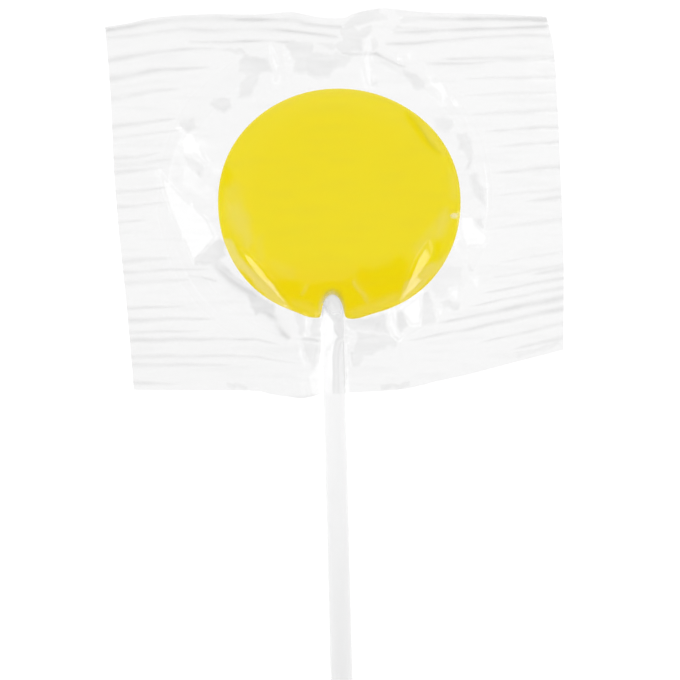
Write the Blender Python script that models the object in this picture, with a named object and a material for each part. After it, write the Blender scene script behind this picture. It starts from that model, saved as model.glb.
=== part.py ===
"""Flat fruit lollipop sealed in clear film, lying on its back.

Run with: blender --background --python part.py

The candy's middle is above the origin, the table is z = 0, the stick points
along -Y with a small lean, and the shown face looks up. Lengths are in metres.
The film is the lowest piece: the lollipop lies on the film under the candy.
"""

import math
import random

import bmesh
import bpy
from mathutils import Matrix, Vector

MM = 0.001

# Candy: a pressed disc, slightly wider than tall, with flat faces and round shoulders
CANDY_WIDTH = 40.0 * MM
CANDY_HEIGHT = 37.7 * MM
CANDY_THICKNESS = 8.5 * MM
CANDY_SQUARENESS = 2.08  # 2 is a plain ellipse
CANDY_FLAT = 0.70  # share of the radius that is flat
CANDY_LUMP = 0.12 * MM  # how far the outline wanders from its curve
CANDY_SEGMENTS = 72
SHOULDER_STEPS = 12  # from the front face round to the back face

# Stick: a plain white rod that leans a little and misses the candy's middle
STICK_DIAMETER = 3.6 * MM
STICK_LENGTH = 82.0 * MM
STICK_IN_CANDY = 17.3 * MM  # beyond the notch
STICK_LEAN = math.radians(1.41)
STICK_OFFSET = -1.5 * MM  # where its line passes the candy's middle
STICK_END_ROUND = 0.25 * MM
STICK_SIDES = 32

# Notch in the candy's lower edge, an arch where the stick goes in, with a lip each side
NOTCH_DEPTH = 3.8 * MM
NOTCH_HALF_WIDTH = 2.15 * MM
NOTCH_STEPS = 14
NOTCH_FLARE = 1.15  # the mouth is this much wider than the arch
LIP_HEIGHT = 0.4 * MM
LIP_TURN = math.radians(11)  # from the stick's line to a lip's highest point
LIP_SPREAD = math.radians(6)

# Clearances between the solids
GAP = 0.3 * MM
BORE_GAP = 0.25 * MM

# Film: two sheets sealed together round the candy
FILM = 0.3 * MM  # wall over the candy
SEAL = 0.5 * MM  # both sheets where they are sealed
POCKET_REACH = 1.32  # the sealed part begins at this share of the candy's radius
POCKET_SEGMENTS = 48
TENT_WALL = 0.36 * MM  # wall over the stick
TENT_SLOPE = math.radians(35)  # the film runs down from the stick at this angle
TUNNEL_SIDES = 20

# The film's four edges, as points that a smooth line joins, seen from above
TOP_EDGE = [
    (-38.7 * MM, 29.1 * MM),
    (-26.5 * MM, 31.0 * MM),
    (-11.0 * MM, 31.2 * MM),
    (0.0 * MM, 30.5 * MM),
    (7.6 * MM, 32.3 * MM),
    (19.6 * MM, 31.3 * MM),
    (34.6 * MM, 30.5 * MM),
]
BOTTOM_EDGE = [
    (-33.9 * MM, -30.5 * MM),
    (-15.0 * MM, -30.4 * MM),
    (-5.8 * MM, -32.0 * MM),
    (3.5 * MM, -31.0 * MM),
    (14.9 * MM, -29.7 * MM),
    (26.5 * MM, -26.6 * MM),
    (36.8 * MM, -24.0 * MM),
]
LEFT_EDGE = [(-30.5 * MM, -33.9 * MM), (0.9 * MM, -36.9 * MM), (29.1 * MM, -38.7 * MM)]
RIGHT_EDGE = [(-24.0 * MM, 36.8 * MM), (-8.3 * MM, 37.0 * MM), (30.5 * MM, 34.6 * MM)]

# Grid of the film's solid, as shares of its width and height
SIDE_BAND = 0.14
SIDE_COLUMNS = 3
MIDDLE_COLUMNS = 38
RIB_COUNT = 21  # crimp ribs from the bottom edge to the top edge
RIB_HEIGHT = 0.3 * MM
RIB_JITTER = 0.25  # share of a rib's pitch
RIB_FADE = 4.0 * MM  # the ribs reach their height this far from the pocket
RIB_SEED = 11

# Slow curl of the sealed sheet
CURL_HEIGHT = 0.9 * MM
CURL_ACROSS = 17.0 * MM  # one radian of the wave from left to right
CURL_ALONG = 21.0 * MM
CURL_FADE = 14.0 * MM

# Folds of the pulled film: start x, start y, end x, end y, half width, height, in mm
NAMED_FOLDS = [
    (-18.5, -6.0, -25.5, -11.0, 5.0, 1.1),  # left, the large one
    (-19.5, 6.5, -26.5, 11.5, 2.6, 0.8),  # upper left
    (-10.0, 18.5, -11.5, 27.0, 1.8, 0.7),  # top left pair
    (-7.5, 18.5, -8.5, 26.0, 1.5, 0.5),
    (5.3, 18.0, 5.0, 29.5, 2.2, 0.9),  # top, up to the bulge of the edge
    (13.5, 14.5, 20.0, 22.5, 2.6, 0.7),  # upper right
    (19.0, -2.5, 26.0, -8.5, 3.2, 0.9),  # right
    (13.0, -15.0, 18.5, -22.5, 2.6, 0.8),  # lower right
    (10.5, -15.0, 12.5, -24.5, 2.4, 0.9),
    (7.0, -17.0, 8.8, -24.0, 1.7, 0.6),
    (-12.0, -13.5, -17.5, -19.5, 2.8, 0.8),  # lower left
    (-7.5, -17.5, -10.5, -24.0, 2.2, 0.7),
]
SMALL_FOLDS = 26  # even round the pocket, with drawn sizes
SMALL_FOLD_HALF_WIDTH = (1.4 * MM, 2.6 * MM)
SMALL_FOLD_HEIGHT = (0.15 * MM, 0.5 * MM)
FOLD_PEAK = 0.65  # a fold is highest at this share of its length
FOLD_TIP = 0.35  # share of its width that it keeps at both ends
SEAM_BLEND = 2.0 * MM  # the back sheet follows the front one from the pocket's edge on
FRONT_SEED = 5
BACK_SEED = 8

MIDDLE = FILM + GAP + CANDY_THICKNESS / 2  # height of the seal and the stick's line
POCKET_HALF_HEIGHT = CANDY_THICKNESS / 2 + GAP + FILM
NOTCH_INNER_END = CANDY_HEIGHT / 2 - NOTCH_DEPTH  # below the candy's middle
NOTCH_ANGLE = -math.pi / 2 + STICK_OFFSET / (CANDY_HEIGHT / 2) + STICK_LEAN

CANDY_YELLOW = (0.86, 0.70, 0.03, 1)
STICK_WHITE = (0.86, 0.86, 0.85, 1)
FILM_CLEAR = (0.93, 0.94, 0.95, 1)


def clear_scene():
    for thing in list(bpy.data.objects):
        bpy.data.objects.remove(thing, do_unlink=True)


def make_material(name, colour, roughness, alpha=1.0):
    material = bpy.data.materials.new(name)
    material.use_nodes = True
    shader = material.node_tree.nodes["Principled BSDF"]
    shader.inputs["Base Color"].default_value = colour
    shader.inputs["Roughness"].default_value = roughness
    shader.inputs["Metallic"].default_value = 0.0
    shader.inputs["Alpha"].default_value = alpha
    return material


def add_object(name, mesh, material=None):
    thing = bpy.data.objects.new(name, mesh)
    bpy.context.scene.collection.objects.link(thing)
    if material:
        mesh.materials.append(material)
    return thing


def hide_cutter(cutter):
    cutter.hide_render = True
    cutter.display_type = "WIRE"


def cut(thing, cutter):
    hide_cutter(cutter)
    boolean = thing.modifiers.new("cut " + cutter.name, "BOOLEAN")
    boolean.operation = "DIFFERENCE"
    boolean.solver = "EXACT"
    boolean.object = cutter


def shade_round(mesh, angle):
    mesh.shade_smooth()
    mesh.set_sharp_from_angle(angle=angle)


def smooth_step(value):
    value = min(1.0, max(0.0, value))
    return value * value * (3 - 2 * value)


def along(points, at):
    """The smooth line through points, read at one place along their first axis."""
    last = len(points) - 1
    at = min(max(at, points[0][0]), points[last][0])
    i = max(k for k in range(last) if points[k][0] <= at)

    def slope(k):
        before, after = points[max(k - 1, 0)], points[min(k + 1, last)]
        return (after[1] - before[1]) / (after[0] - before[0])

    (x0, y0), (x1, y1) = points[i], points[i + 1]
    step = x1 - x0
    t = (at - x0) / step
    return (
        (2 * t**3 - 3 * t**2 + 1) * y0
        + (t**3 - 2 * t**2 + t) * step * slope(i)
        + (3 * t**2 - 2 * t**3) * y1
        + (t**3 - t**2) * step * slope(i + 1)
    )


def candy_edge(angle, grown=0.0):
    """Point of the candy's outline at an angle, grown outwards by a length."""
    wide, tall = CANDY_WIDTH / 2, CANDY_HEIGHT / 2
    c, s = math.cos(angle), math.sin(angle)
    power = CANDY_SQUARENESS
    radius = (abs(c / wide) ** power + abs(s / tall) ** power) ** (-1 / power)
    radius += CANDY_LUMP * (math.cos(3 * angle + 0.6) + math.sin(5 * angle)) / 2
    away = abs((angle - NOTCH_ANGLE + math.pi) % math.tau - math.pi)
    radius += LIP_HEIGHT * math.exp(-(((away - LIP_TURN) / LIP_SPREAD) ** 2))
    return Vector(((radius + grown) * c, (radius + grown) * s, 0))


def candy_share(x, y):
    """How far out a point is, as a share of the candy's radius in its direction."""
    return math.hypot(x, y) / candy_edge(math.atan2(y, x)).length


def mesh_from_rings(name, rings):
    """Closed skin over rings of points from the top down, with a flat cap at each end."""
    bm = bmesh.new()
    loops = [[bm.verts.new(point) for point in ring] for ring in rings]
    for upper, lower in zip(loops, loops[1:]):
        for i in range(len(upper)):
            j = (i + 1) % len(upper)
            bm.faces.new((upper[i], lower[i], lower[j], upper[j]))
    bm.faces.new(loops[0])
    bm.faces.new(reversed(loops[-1]))
    bmesh.ops.recalc_face_normals(bm, faces=bm.faces)
    mesh = bpy.data.meshes.new(name)
    bm.to_mesh(mesh)
    bm.free()
    return mesh


def lying_along_stick(start, length, radius, sides, name):
    """Cylinder on the stick's line, from a distance below the candy's middle."""
    bm = bmesh.new()
    bmesh.ops.create_cone(
        bm,
        cap_ends=True,
        segments=sides,
        radius1=radius,
        radius2=radius,
        depth=length,
    )
    bmesh.ops.rotate(bm, verts=bm.verts, matrix=Matrix.Rotation(math.pi / 2, 3, "X"))
    bmesh.ops.translate(bm, verts=bm.verts, vec=(0, -start - length / 2, 0))
    mesh = bpy.data.meshes.new(name)
    bm.to_mesh(mesh)
    bm.free()
    return mesh


def place_on_stick_line(thing):
    thing.location = (STICK_OFFSET, 0, MIDDLE)
    thing.rotation_euler = (0, 0, STICK_LEAN)


def stick_distance(x, y):
    """How far a point seen from above lies to the side of the stick's line."""
    return (x - STICK_OFFSET) * math.cos(STICK_LEAN) + y * math.sin(STICK_LEAN)


def make_candy():
    rings = []
    for step in range(SHOULDER_STEPS + 1):
        turn = math.pi * step / SHOULDER_STEPS
        share = CANDY_FLAT + (1 - CANDY_FLAT) * math.sin(turn)
        height = MIDDLE + CANDY_THICKNESS / 2 * math.cos(turn)
        ring = []
        for k in range(CANDY_SEGMENTS):
            point = candy_edge(math.tau * k / CANDY_SEGMENTS) * share
            point.z = height
            ring.append(point)
        rings.append(ring)
    yellow = make_material("candy_yellow", CANDY_YELLOW, 0.35)
    mesh = mesh_from_rings("candy", rings)
    shade_round(mesh, math.radians(40))
    candy = add_object("candy", mesh, yellow)
    cut(candy, make_bore())
    cut(candy, make_notch())
    return candy


def make_bore():
    radius = STICK_DIAMETER / 2 + BORE_GAP
    start = NOTCH_INNER_END - STICK_IN_CANDY - GAP
    length = STICK_IN_CANDY + GAP + NOTCH_DEPTH + 2 * radius
    mesh = lying_along_stick(start, length, radius, STICK_SIDES, "bore cutter")
    bore = add_object("bore_cutter", mesh)
    place_on_stick_line(bore)
    return bore


def make_notch():
    """Upright arch through the candy, open at its lower edge."""
    outline = []
    for k in range(NOTCH_STEPS + 1):
        turn = math.pi * k / NOTCH_STEPS
        up = NOTCH_DEPTH * math.sin(turn) - CANDY_HEIGHT / 2
        outline.append((NOTCH_HALF_WIDTH * math.cos(turn), up))
    mouth = -CANDY_HEIGHT / 2 - NOTCH_DEPTH
    mouth_half_width = NOTCH_HALF_WIDTH * NOTCH_FLARE
    outline += [(-mouth_half_width, mouth), (mouth_half_width, mouth)]
    reach = CANDY_THICKNESS
    rings = [[Vector((x, y, z)) for x, y in outline] for z in (reach, -reach)]
    notch = add_object("notch_cutter", mesh_from_rings("notch cutter", rings))
    place_on_stick_line(notch)
    return notch


def make_stick():
    start = NOTCH_INNER_END - STICK_IN_CANDY
    radius = STICK_DIAMETER / 2
    mesh = lying_along_stick(start, STICK_LENGTH, radius, STICK_SIDES, "stick")
    shade_round(mesh, math.radians(40))
    stick = add_object("stick", mesh, make_material("stick_white", STICK_WHITE, 0.5))
    place_on_stick_line(stick)
    bevel = stick.modifiers.new("rounded ends", "BEVEL")
    bevel.width = STICK_END_ROUND
    bevel.segments = 2
    bevel.limit_method = "ANGLE"
    bevel.angle_limit = math.radians(60)
    return stick


def leaving_share():
    """Where the film leaves the candy's round shoulder and runs straight to the seal."""
    return CANDY_FLAT + (1 - CANDY_FLAT) ** 2 / (POCKET_REACH - CANDY_FLAT)


def pocket_height(share):
    """Height of the pulled film over the seal: flat, over the shoulder, then straight."""
    if share <= CANDY_FLAT:
        return POCKET_HALF_HEIGHT
    leave = leaving_share()
    round_share = min(share, leave)
    turn = (round_share - CANDY_FLAT) / (1 - CANDY_FLAT)
    height = POCKET_HALF_HEIGHT * math.sqrt(1 - turn**2)
    if share > leave:
        height *= (POCKET_REACH - share) / (POCKET_REACH - leave)
    return height


def stick_tent(distance):
    """Height of the film that lies over the stick and slopes down to the seal."""
    distance = abs(distance)
    radius = STICK_DIAMETER / 2 + GAP + TENT_WALL
    if distance <= radius * math.sin(TENT_SLOPE):
        return math.sqrt(radius**2 - distance**2)
    return (radius / math.sin(TENT_SLOPE) - distance) * math.tan(TENT_SLOPE)


def folds_of(seed):
    """The named folds and the drawn ones, as start, end, half width and height."""
    folds = []
    if seed == FRONT_SEED:
        for x0, y0, x1, y1, half_width, height in NAMED_FOLDS:
            start = Vector((x0 * MM, y0 * MM))
            end = Vector((x1 * MM, y1 * MM))
            folds.append((start, end, half_width * MM, height * MM))
    draw = random.Random(seed)
    for k in range(SMALL_FOLDS):
        angle = math.tau * (k + draw.uniform(-0.35, 0.35)) / SMALL_FOLDS
        edge = candy_edge(angle).xy
        start = edge * draw.uniform(0.90, 1.0)
        end = edge * draw.uniform(1.30, 1.48)
        half_width = draw.uniform(*SMALL_FOLD_HALF_WIDTH)
        height = draw.uniform(*SMALL_FOLD_HEIGHT)
        folds.append((start, end, half_width, height))
    return folds


def fold_height(folds, x, y):
    """The highest fold at a point: each is a sharp ridge that tapers at both ends."""
    highest = 0.0
    for start, end, half_width, height in folds:
        line = end - start
        offset = Vector((x, y)) - start
        share = offset.dot(line) / line.length_squared
        if not 0 < share < 1:
            continue
        side = abs(offset.cross(line)) / line.length
        taper = min(share / FOLD_PEAK, (1 - share) / (1 - FOLD_PEAK))
        reach = half_width * (FOLD_TIP + (1 - FOLD_TIP) * taper)
        if side < reach:
            highest = max(highest, height * taper * (1 - side / reach))
    return highest


def spread(start, end, count):
    return [start + (end - start) * k / count for k in range(count)]


def sheet_columns():
    return (
        spread(0, SIDE_BAND, SIDE_COLUMNS)
        + spread(SIDE_BAND, 1 - SIDE_BAND, MIDDLE_COLUMNS)
        + spread(1 - SIDE_BAND, 1, SIDE_COLUMNS)
        + [1.0]
    )


def sheet_rows():
    """Rows on the ribs' crests and between them, each with the rib's signed height."""
    draw = random.Random(RIB_SEED)
    count = 2 * RIB_COUNT
    rows = [(0.0, 0.0)]
    for k in range(1, count):
        place = (k + draw.uniform(-RIB_JITTER, RIB_JITTER)) / count
        height = RIB_HEIGHT * draw.uniform(0.35, 1.0)
        rows.append((place, height if k % 2 else -height / 2))
    return rows + [(1.0, 0.0)]


def sheet_point(u, v):
    """Place on the sheet, blended from its four edges. u runs right and v runs up."""
    x0, x1 = BOTTOM_EDGE[0][0], BOTTOM_EDGE[-1][0]
    bottom_x = x0 + (x1 - x0) * u
    bottom = Vector((bottom_x, along(BOTTOM_EDGE, bottom_x)))
    x0, x1 = TOP_EDGE[0][0], TOP_EDGE[-1][0]
    top_x = x0 + (x1 - x0) * u
    top = Vector((top_x, along(TOP_EDGE, top_x)))
    y0, y1 = LEFT_EDGE[0][0], LEFT_EDGE[-1][0]
    left_y = y0 + (y1 - y0) * v
    left = Vector((along(LEFT_EDGE, left_y), left_y))
    y0, y1 = RIGHT_EDGE[0][0], RIGHT_EDGE[-1][0]
    right_y = y0 + (y1 - y0) * v
    right = Vector((along(RIGHT_EDGE, right_y), right_y))
    corners = (
        (1 - u) * (1 - v) * Vector(BOTTOM_EDGE[0])
        + u * (1 - v) * Vector(BOTTOM_EDGE[-1])
        + (1 - u) * v * Vector(TOP_EDGE[0])
        + u * v * Vector(TOP_EDGE[-1])
    )
    return (1 - v) * bottom + v * top + (1 - u) * left + u * right - corners


def sheet_curl(x, y, beyond):
    """Slow up and down of the sealed sheet, growing away from the pocket."""
    wave = math.sin(x / CURL_ACROSS + 0.6) * math.cos(y / CURL_ALONG - 0.4)
    return CURL_HEIGHT * wave * smooth_step(beyond / CURL_FADE)


def film_heights(x, y, rib, front_folds, back_folds):
    """Heights of the film's top and bottom faces over the table."""
    share = candy_share(x, y)
    beyond = (share - POCKET_REACH) * CANDY_WIDTH / 2
    sheet = sheet_curl(x, y, beyond) + rib * smooth_step(beyond / RIB_FADE)
    rise = pocket_height(share)
    if y < 0:
        rise = max(rise, stick_tent(stick_distance(x, y)))
    fold = fold_height(front_folds, x, y)
    sealed = smooth_step(0.5 + beyond / SEAM_BLEND)
    under = sealed * fold - (1 - sealed) * fold_height(back_folds, x, y)
    top = MIDDLE + max(sheet + SEAL / 2, rise) + fold
    bottom = MIDDLE + min(sheet - SEAL / 2, -rise) + under
    return top, bottom


def make_wrapper():
    columns, rows = sheet_columns(), sheet_rows()
    front_folds, back_folds = folds_of(FRONT_SEED), folds_of(BACK_SEED)
    bm = bmesh.new()
    top, bottom = [], []
    for v, rib in rows:
        top_row, bottom_row = [], []
        for u in columns:
            x, y = sheet_point(u, v)
            high, low = film_heights(x, y, rib, front_folds, back_folds)
            top_row.append(bm.verts.new((x, y, high)))
            bottom_row.append(bm.verts.new((x, y, low)))
        top.append(top_row)
        bottom.append(bottom_row)
    for j in range(len(rows) - 1):
        for i in range(len(columns) - 1):
            for grid, up in ((top, True), (bottom, False)):
                a, b = grid[j][i], grid[j][i + 1]
                c, d = grid[j + 1][i + 1], grid[j + 1][i]
                bm.faces.new((a, b, c) if up else (c, b, a))
                bm.faces.new((a, c, d) if up else (d, c, a))
    last = len(columns) - 1
    rim_top = top[0][:-1] + [row[last] for row in top[:-1]]
    rim_top += top[-1][:0:-1] + [row[0] for row in top[:0:-1]]
    rim_bottom = bottom[0][:-1] + [row[last] for row in bottom[:-1]]
    rim_bottom += bottom[-1][:0:-1] + [row[0] for row in bottom[:0:-1]]
    for k in range(len(rim_top)):
        n = (k + 1) % len(rim_top)
        bm.faces.new((rim_bottom[k], rim_bottom[n], rim_top[n], rim_top[k]))
    mesh = bpy.data.meshes.new("wrapper")
    bm.to_mesh(mesh)
    bm.free()
    shade_round(mesh, math.radians(30))
    clear = make_material("film_clear", FILM_CLEAR, 0.15, alpha=0.3)
    wrapper = add_object("wrapper", mesh, clear)
    cut(wrapper, make_pocket_cutter())
    cut(wrapper, make_tunnel_cutter())
    return wrapper


def make_pocket_cutter():
    """The space inside the film: the same form, one film thickness smaller."""
    leave = leaving_share()
    close = POCKET_REACH - (POCKET_REACH - leave) * FILM / pocket_height(leave)
    shares = [CANDY_FLAT, (CANDY_FLAT + leave) / 2, leave, (leave + close) / 2]
    levels = [(share, pocket_height(share) - FILM) for share in shares]
    below = [(share, -height) for share, height in reversed(levels)]
    rings = []
    for share, height in levels + [(close, 0.0)] + below:
        ring = []
        for k in range(POCKET_SEGMENTS):
            point = candy_edge(math.tau * k / POCKET_SEGMENTS) * share
            point.z = MIDDLE + height
            ring.append(point)
        rings.append(ring)
    return add_object("pocket_cutter", mesh_from_rings("pocket cutter", rings))


def make_tunnel_cutter():
    """The space round the stick, from the pocket out past the sheet's lower edge."""
    radius = STICK_DIAMETER / 2 + GAP
    length = CANDY_HEIGHT
    mesh = lying_along_stick(NOTCH_INNER_END, length, radius, TUNNEL_SIDES, "tunnel")
    tunnel = add_object("tunnel_cutter", mesh)
    place_on_stick_line(tunnel)
    return tunnel


def main():
    clear_scene()
    make_candy()
    make_stick()
    make_wrapper()


main()
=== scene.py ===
import math

import bmesh
import bpy
import numpy as np
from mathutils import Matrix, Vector, noise


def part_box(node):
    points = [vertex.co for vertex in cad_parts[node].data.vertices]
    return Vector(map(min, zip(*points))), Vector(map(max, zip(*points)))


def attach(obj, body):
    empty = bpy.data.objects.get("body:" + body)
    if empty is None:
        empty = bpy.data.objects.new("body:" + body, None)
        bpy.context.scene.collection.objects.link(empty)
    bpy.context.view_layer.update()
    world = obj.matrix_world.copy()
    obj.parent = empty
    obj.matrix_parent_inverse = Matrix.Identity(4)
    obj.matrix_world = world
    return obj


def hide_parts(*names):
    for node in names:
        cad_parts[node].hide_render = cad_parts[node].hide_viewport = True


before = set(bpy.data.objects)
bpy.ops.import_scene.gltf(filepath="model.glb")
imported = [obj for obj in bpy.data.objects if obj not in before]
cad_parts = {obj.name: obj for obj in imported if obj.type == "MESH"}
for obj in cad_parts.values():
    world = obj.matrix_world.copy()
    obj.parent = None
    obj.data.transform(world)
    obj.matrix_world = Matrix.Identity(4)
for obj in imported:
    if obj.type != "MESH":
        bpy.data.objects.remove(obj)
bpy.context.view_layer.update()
print("frame loaded:", sorted(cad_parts))

# shapes below are worked out in millimetres and written in metres
mm = 0.001
tau = math.tau

candyLow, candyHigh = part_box("candy")
stickLow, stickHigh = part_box("stick")
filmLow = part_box("wrapper")[0]
middle = (candyLow.z + candyHigh.z) / 2 / mm  # height of the seal and the stick's axis
candyHalf = (candyHigh.z - candyLow.z) / 2 / mm
pocketHalf = middle - filmLow.z / mm

candyShape = {
    "wide": 40.0,
    "tall": 37.7,
    "squareness": 2.08,
    "flat": 0.70,  # share of the radius where the rounded edge starts
    "lump": 0.12,  # how far the outline wanders
    "lumpTurn": 0.6,
    "lipHeight": 0.4,  # swelling on both sides of the notch
    "lipTurn": math.radians(11),
    "lipSpread": math.radians(6),
}
stickShape = {
    "radius": (stickHigh.z - stickLow.z) / 2 / mm,
    "length": 82.0,
    "inCandy": 17.3,
    "lean": math.radians(1.41),
    "offset": -1.5,
    "endRound": 0.25,
}
notchShape = {
    "depth": 3.6,
    "halfWidth": 1.95,
    "cornerPasses": 5,
    # in half openings: where the round edge stops, and how far its corners are rounded
    "edgeStop": 1.15,
    "cornerReach": 2.2,
}
notchEnd = candyShape["tall"] / 2 - notchShape["depth"]
notchAngle = -math.pi / 2 + stickShape["offset"] / (candyShape["tall"] / 2) + stickShape["lean"]


# shape helpers

def smoothStep(value):
    value = np.clip(value, 0, 1)
    return value * value * (3 - 2 * value)


def fade(value, start, end):
    # from 0 at the start to 1 at the end
    return smoothStep((value - start) / (end - start))


def bell(value):
    return np.exp(-(value**2))


def mixed(a, b, share):
    return a + (b - a) * share


def roundedMax(a, b, blend):
    # the larger of two heights, rounded where they meet
    share = np.clip(0.5 + (a - b) / (2 * blend), 0, 1)
    return mixed(b, a, share) + blend * share * (1 - share)


def alongLine(points, at):
    # smooth line through a few points
    xs = np.array([p[0] for p in points], float)
    ys = np.array([p[1] for p in points], float)
    slopes = np.empty_like(ys)
    slopes[1:-1] = (ys[2:] - ys[:-2]) / (xs[2:] - xs[:-2])
    slopes[0] = (ys[1] - ys[0]) / (xs[1] - xs[0])
    slopes[-1] = (ys[-1] - ys[-2]) / (xs[-1] - xs[-2])
    at = np.clip(at, xs[0], xs[-1])
    i = np.clip(np.searchsorted(xs, at, side="right") - 1, 0, len(xs) - 2)
    step = xs[i + 1] - xs[i]
    t = (at - xs[i]) / step
    ends = (2 * t**3 - 3 * t**2 + 1) * ys[i] + (3 * t**2 - 2 * t**3) * ys[i + 1]
    bends = (t**3 - 2 * t**2 + t) * slopes[i] + (t**3 - t**2) * slopes[i + 1]
    return ends + bends * step


def candyRadius(angle):
    wide, tall = candyShape["wide"] / 2, candyShape["tall"] / 2
    power = candyShape["squareness"]
    c, s = np.cos(angle), np.sin(angle)
    radius = (np.abs(c / wide) ** power + np.abs(s / tall) ** power) ** (-1 / power)
    return radius + candyShape["lump"] * (np.cos(3 * angle + candyShape["lumpTurn"]) + np.sin(5 * angle)) / 2


def lipHeight(angle):
    away = np.abs((angle - notchAngle + math.pi) % tau - math.pi)
    return candyShape["lipHeight"] * bell((away - candyShape["lipTurn"]) / candyShape["lipSpread"])


def shoulderHeight(share):
    turn = np.clip((share - candyShape["flat"]) / (1 - candyShape["flat"]), 0, 1)
    return candyHalf * np.sqrt(1 - turn**2)


def stickPoint(across, along, height):
    lean = stickShape["lean"]
    x = stickShape["offset"] + across * np.cos(lean) - along * np.sin(lean)
    y = across * np.sin(lean) + along * np.cos(lean)
    return np.stack(np.broadcast_arrays(x, y, height), axis=-1)


def stickDistance(x, y):
    lean = stickShape["lean"]
    return (x - stickShape["offset"]) * math.cos(lean) + y * math.sin(lean)


def softNoise(points, size, seed):
    offset = Vector((seed * 7.3, seed * 3.1, seed * 5.7))
    flat = np.asarray(points).reshape(-1, 3) / size
    values = [noise.noise(Vector(p) + offset) for p in flat.tolist()]
    return np.array(values).reshape(np.shape(points)[:-1])


def addObject(name, data):
    thing = bpy.data.objects.new(name, data)
    bpy.context.scene.collection.objects.link(thing)
    return thing


def meshFromGrid(name, points, closedAcross=False):
    rows, columns = points.shape[:2]
    index = np.arange(rows * columns).reshape(rows, columns)
    right = np.roll(index, -1, axis=1)
    if not closedAcross:
        index, right = index[:, :-1], right[:, :-1]
    quads = np.stack([index[:-1], right[:-1], right[1:], index[1:]], axis=-1).reshape(-1, 4)
    mesh = bpy.data.meshes.new(name)
    mesh.from_pydata((points.reshape(-1, 3) * mm).tolist(), [], quads.tolist())
    mesh.shade_smooth()
    return addObject(name, mesh)


def closeEnds(piece, count, firstPoint, lastPoint):
    # fans from the first and the last ring to a point each
    mesh = bmesh.new()
    mesh.from_mesh(piece.data)
    mesh.verts.ensure_lookup_table()
    total = len(mesh.verts)
    first = mesh.verts.new(Vector(firstPoint) * mm)
    last = mesh.verts.new(Vector(lastPoint) * mm)
    mesh.verts.ensure_lookup_table()
    for k in range(count):
        n = (k + 1) % count
        mesh.faces.new((first, mesh.verts[k], mesh.verts[n]))
        mesh.faces.new((last, mesh.verts[total - count + n], mesh.verts[total - count + k]))
    bmesh.ops.recalc_face_normals(mesh, faces=mesh.faces)
    mesh.to_mesh(piece.data)
    mesh.free()
    piece.data.shade_smooth()


def finishPiece(piece, material, node):
    piece.data.materials.append(material)
    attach(piece, "root")
    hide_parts(node)


# node helpers

def newMaterial(name):
    material = bpy.data.materials.new(name)
    material.use_nodes = True
    nodes = material.node_tree.nodes
    return material, nodes, material.node_tree.links, nodes["Principled BSDF"]


def grey(value):
    return (value, value, value, 1)


def setInputs(node, values):
    for name, value in values.items():
        node.inputs[name].default_value = value


def addNode(nodes, kind, x, y, **settings):
    node = nodes.new(kind)
    node.location = (x, y)
    for name, value in settings.items():
        setattr(node, name, value)
    return node


def feed(links, value, socket):
    # a link from another node, or a plain value
    if isinstance(value, bpy.types.NodeSocket):
        links.new(value, socket)
    else:
        socket.default_value = value


def addMath(nodes, links, operation, x, y, *values):
    node = addNode(nodes, "ShaderNodeMath", x, y, operation=operation)
    for socket, value in zip(node.inputs, values):
        feed(links, value, socket)
    return node.outputs[0]


def addColours(nodes, links, x, y, share, low, high):
    node = addNode(nodes, "ShaderNodeMix", x, y, data_type="RGBA")
    links.new(share, node.inputs["Factor"])
    feed(links, low, node.inputs["A"])
    feed(links, high, node.inputs["B"])
    return node.outputs["Result"]


def addShaders(nodes, links, x, y, share, first, second):
    node = addNode(nodes, "ShaderNodeMixShader", x, y)
    for socket, value in zip(node.inputs, (share, first, second)):
        links.new(value, socket)
    return node.outputs[0]


def addMask(nodes, x, y, name):
    return addNode(nodes, "ShaderNodeAttribute", x, y, attribute_name=name).outputs["Fac"]


def addAxes(nodes, links, x, y, kind):
    place = addNode(nodes, "ShaderNodeTexCoord", x, y)
    parts = addNode(nodes, "ShaderNodeSeparateXYZ", x + 200, y)
    links.new(place.outputs[kind], parts.inputs[0])
    return parts.outputs


def addRamp(nodes, links, x, y, value, start, end, low=0.0, high=1.0, way="SMOOTHSTEP"):
    ramp = addNode(nodes, "ShaderNodeMapRange", x, y, interpolation_type=way)
    links.new(value, ramp.inputs["Value"])
    setInputs(ramp, {"From Min": start, "From Max": end, "To Min": low, "To Max": high})
    return ramp.outputs["Result"]


def addBump(nodes, links, x, y, height, strength, distance, shader):
    bump = addNode(nodes, "ShaderNodeBump", x, y)
    setInputs(bump, {"Strength": strength, "Distance": distance * mm})
    links.new(height, bump.inputs["Height"])
    links.new(bump.outputs["Normal"], shader.inputs["Normal"])


mottleLook = {"broadDetail": 3.0, "fineDetail": 5.0, "fineness": 9.0, "fineShare": 0.25}


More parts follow.
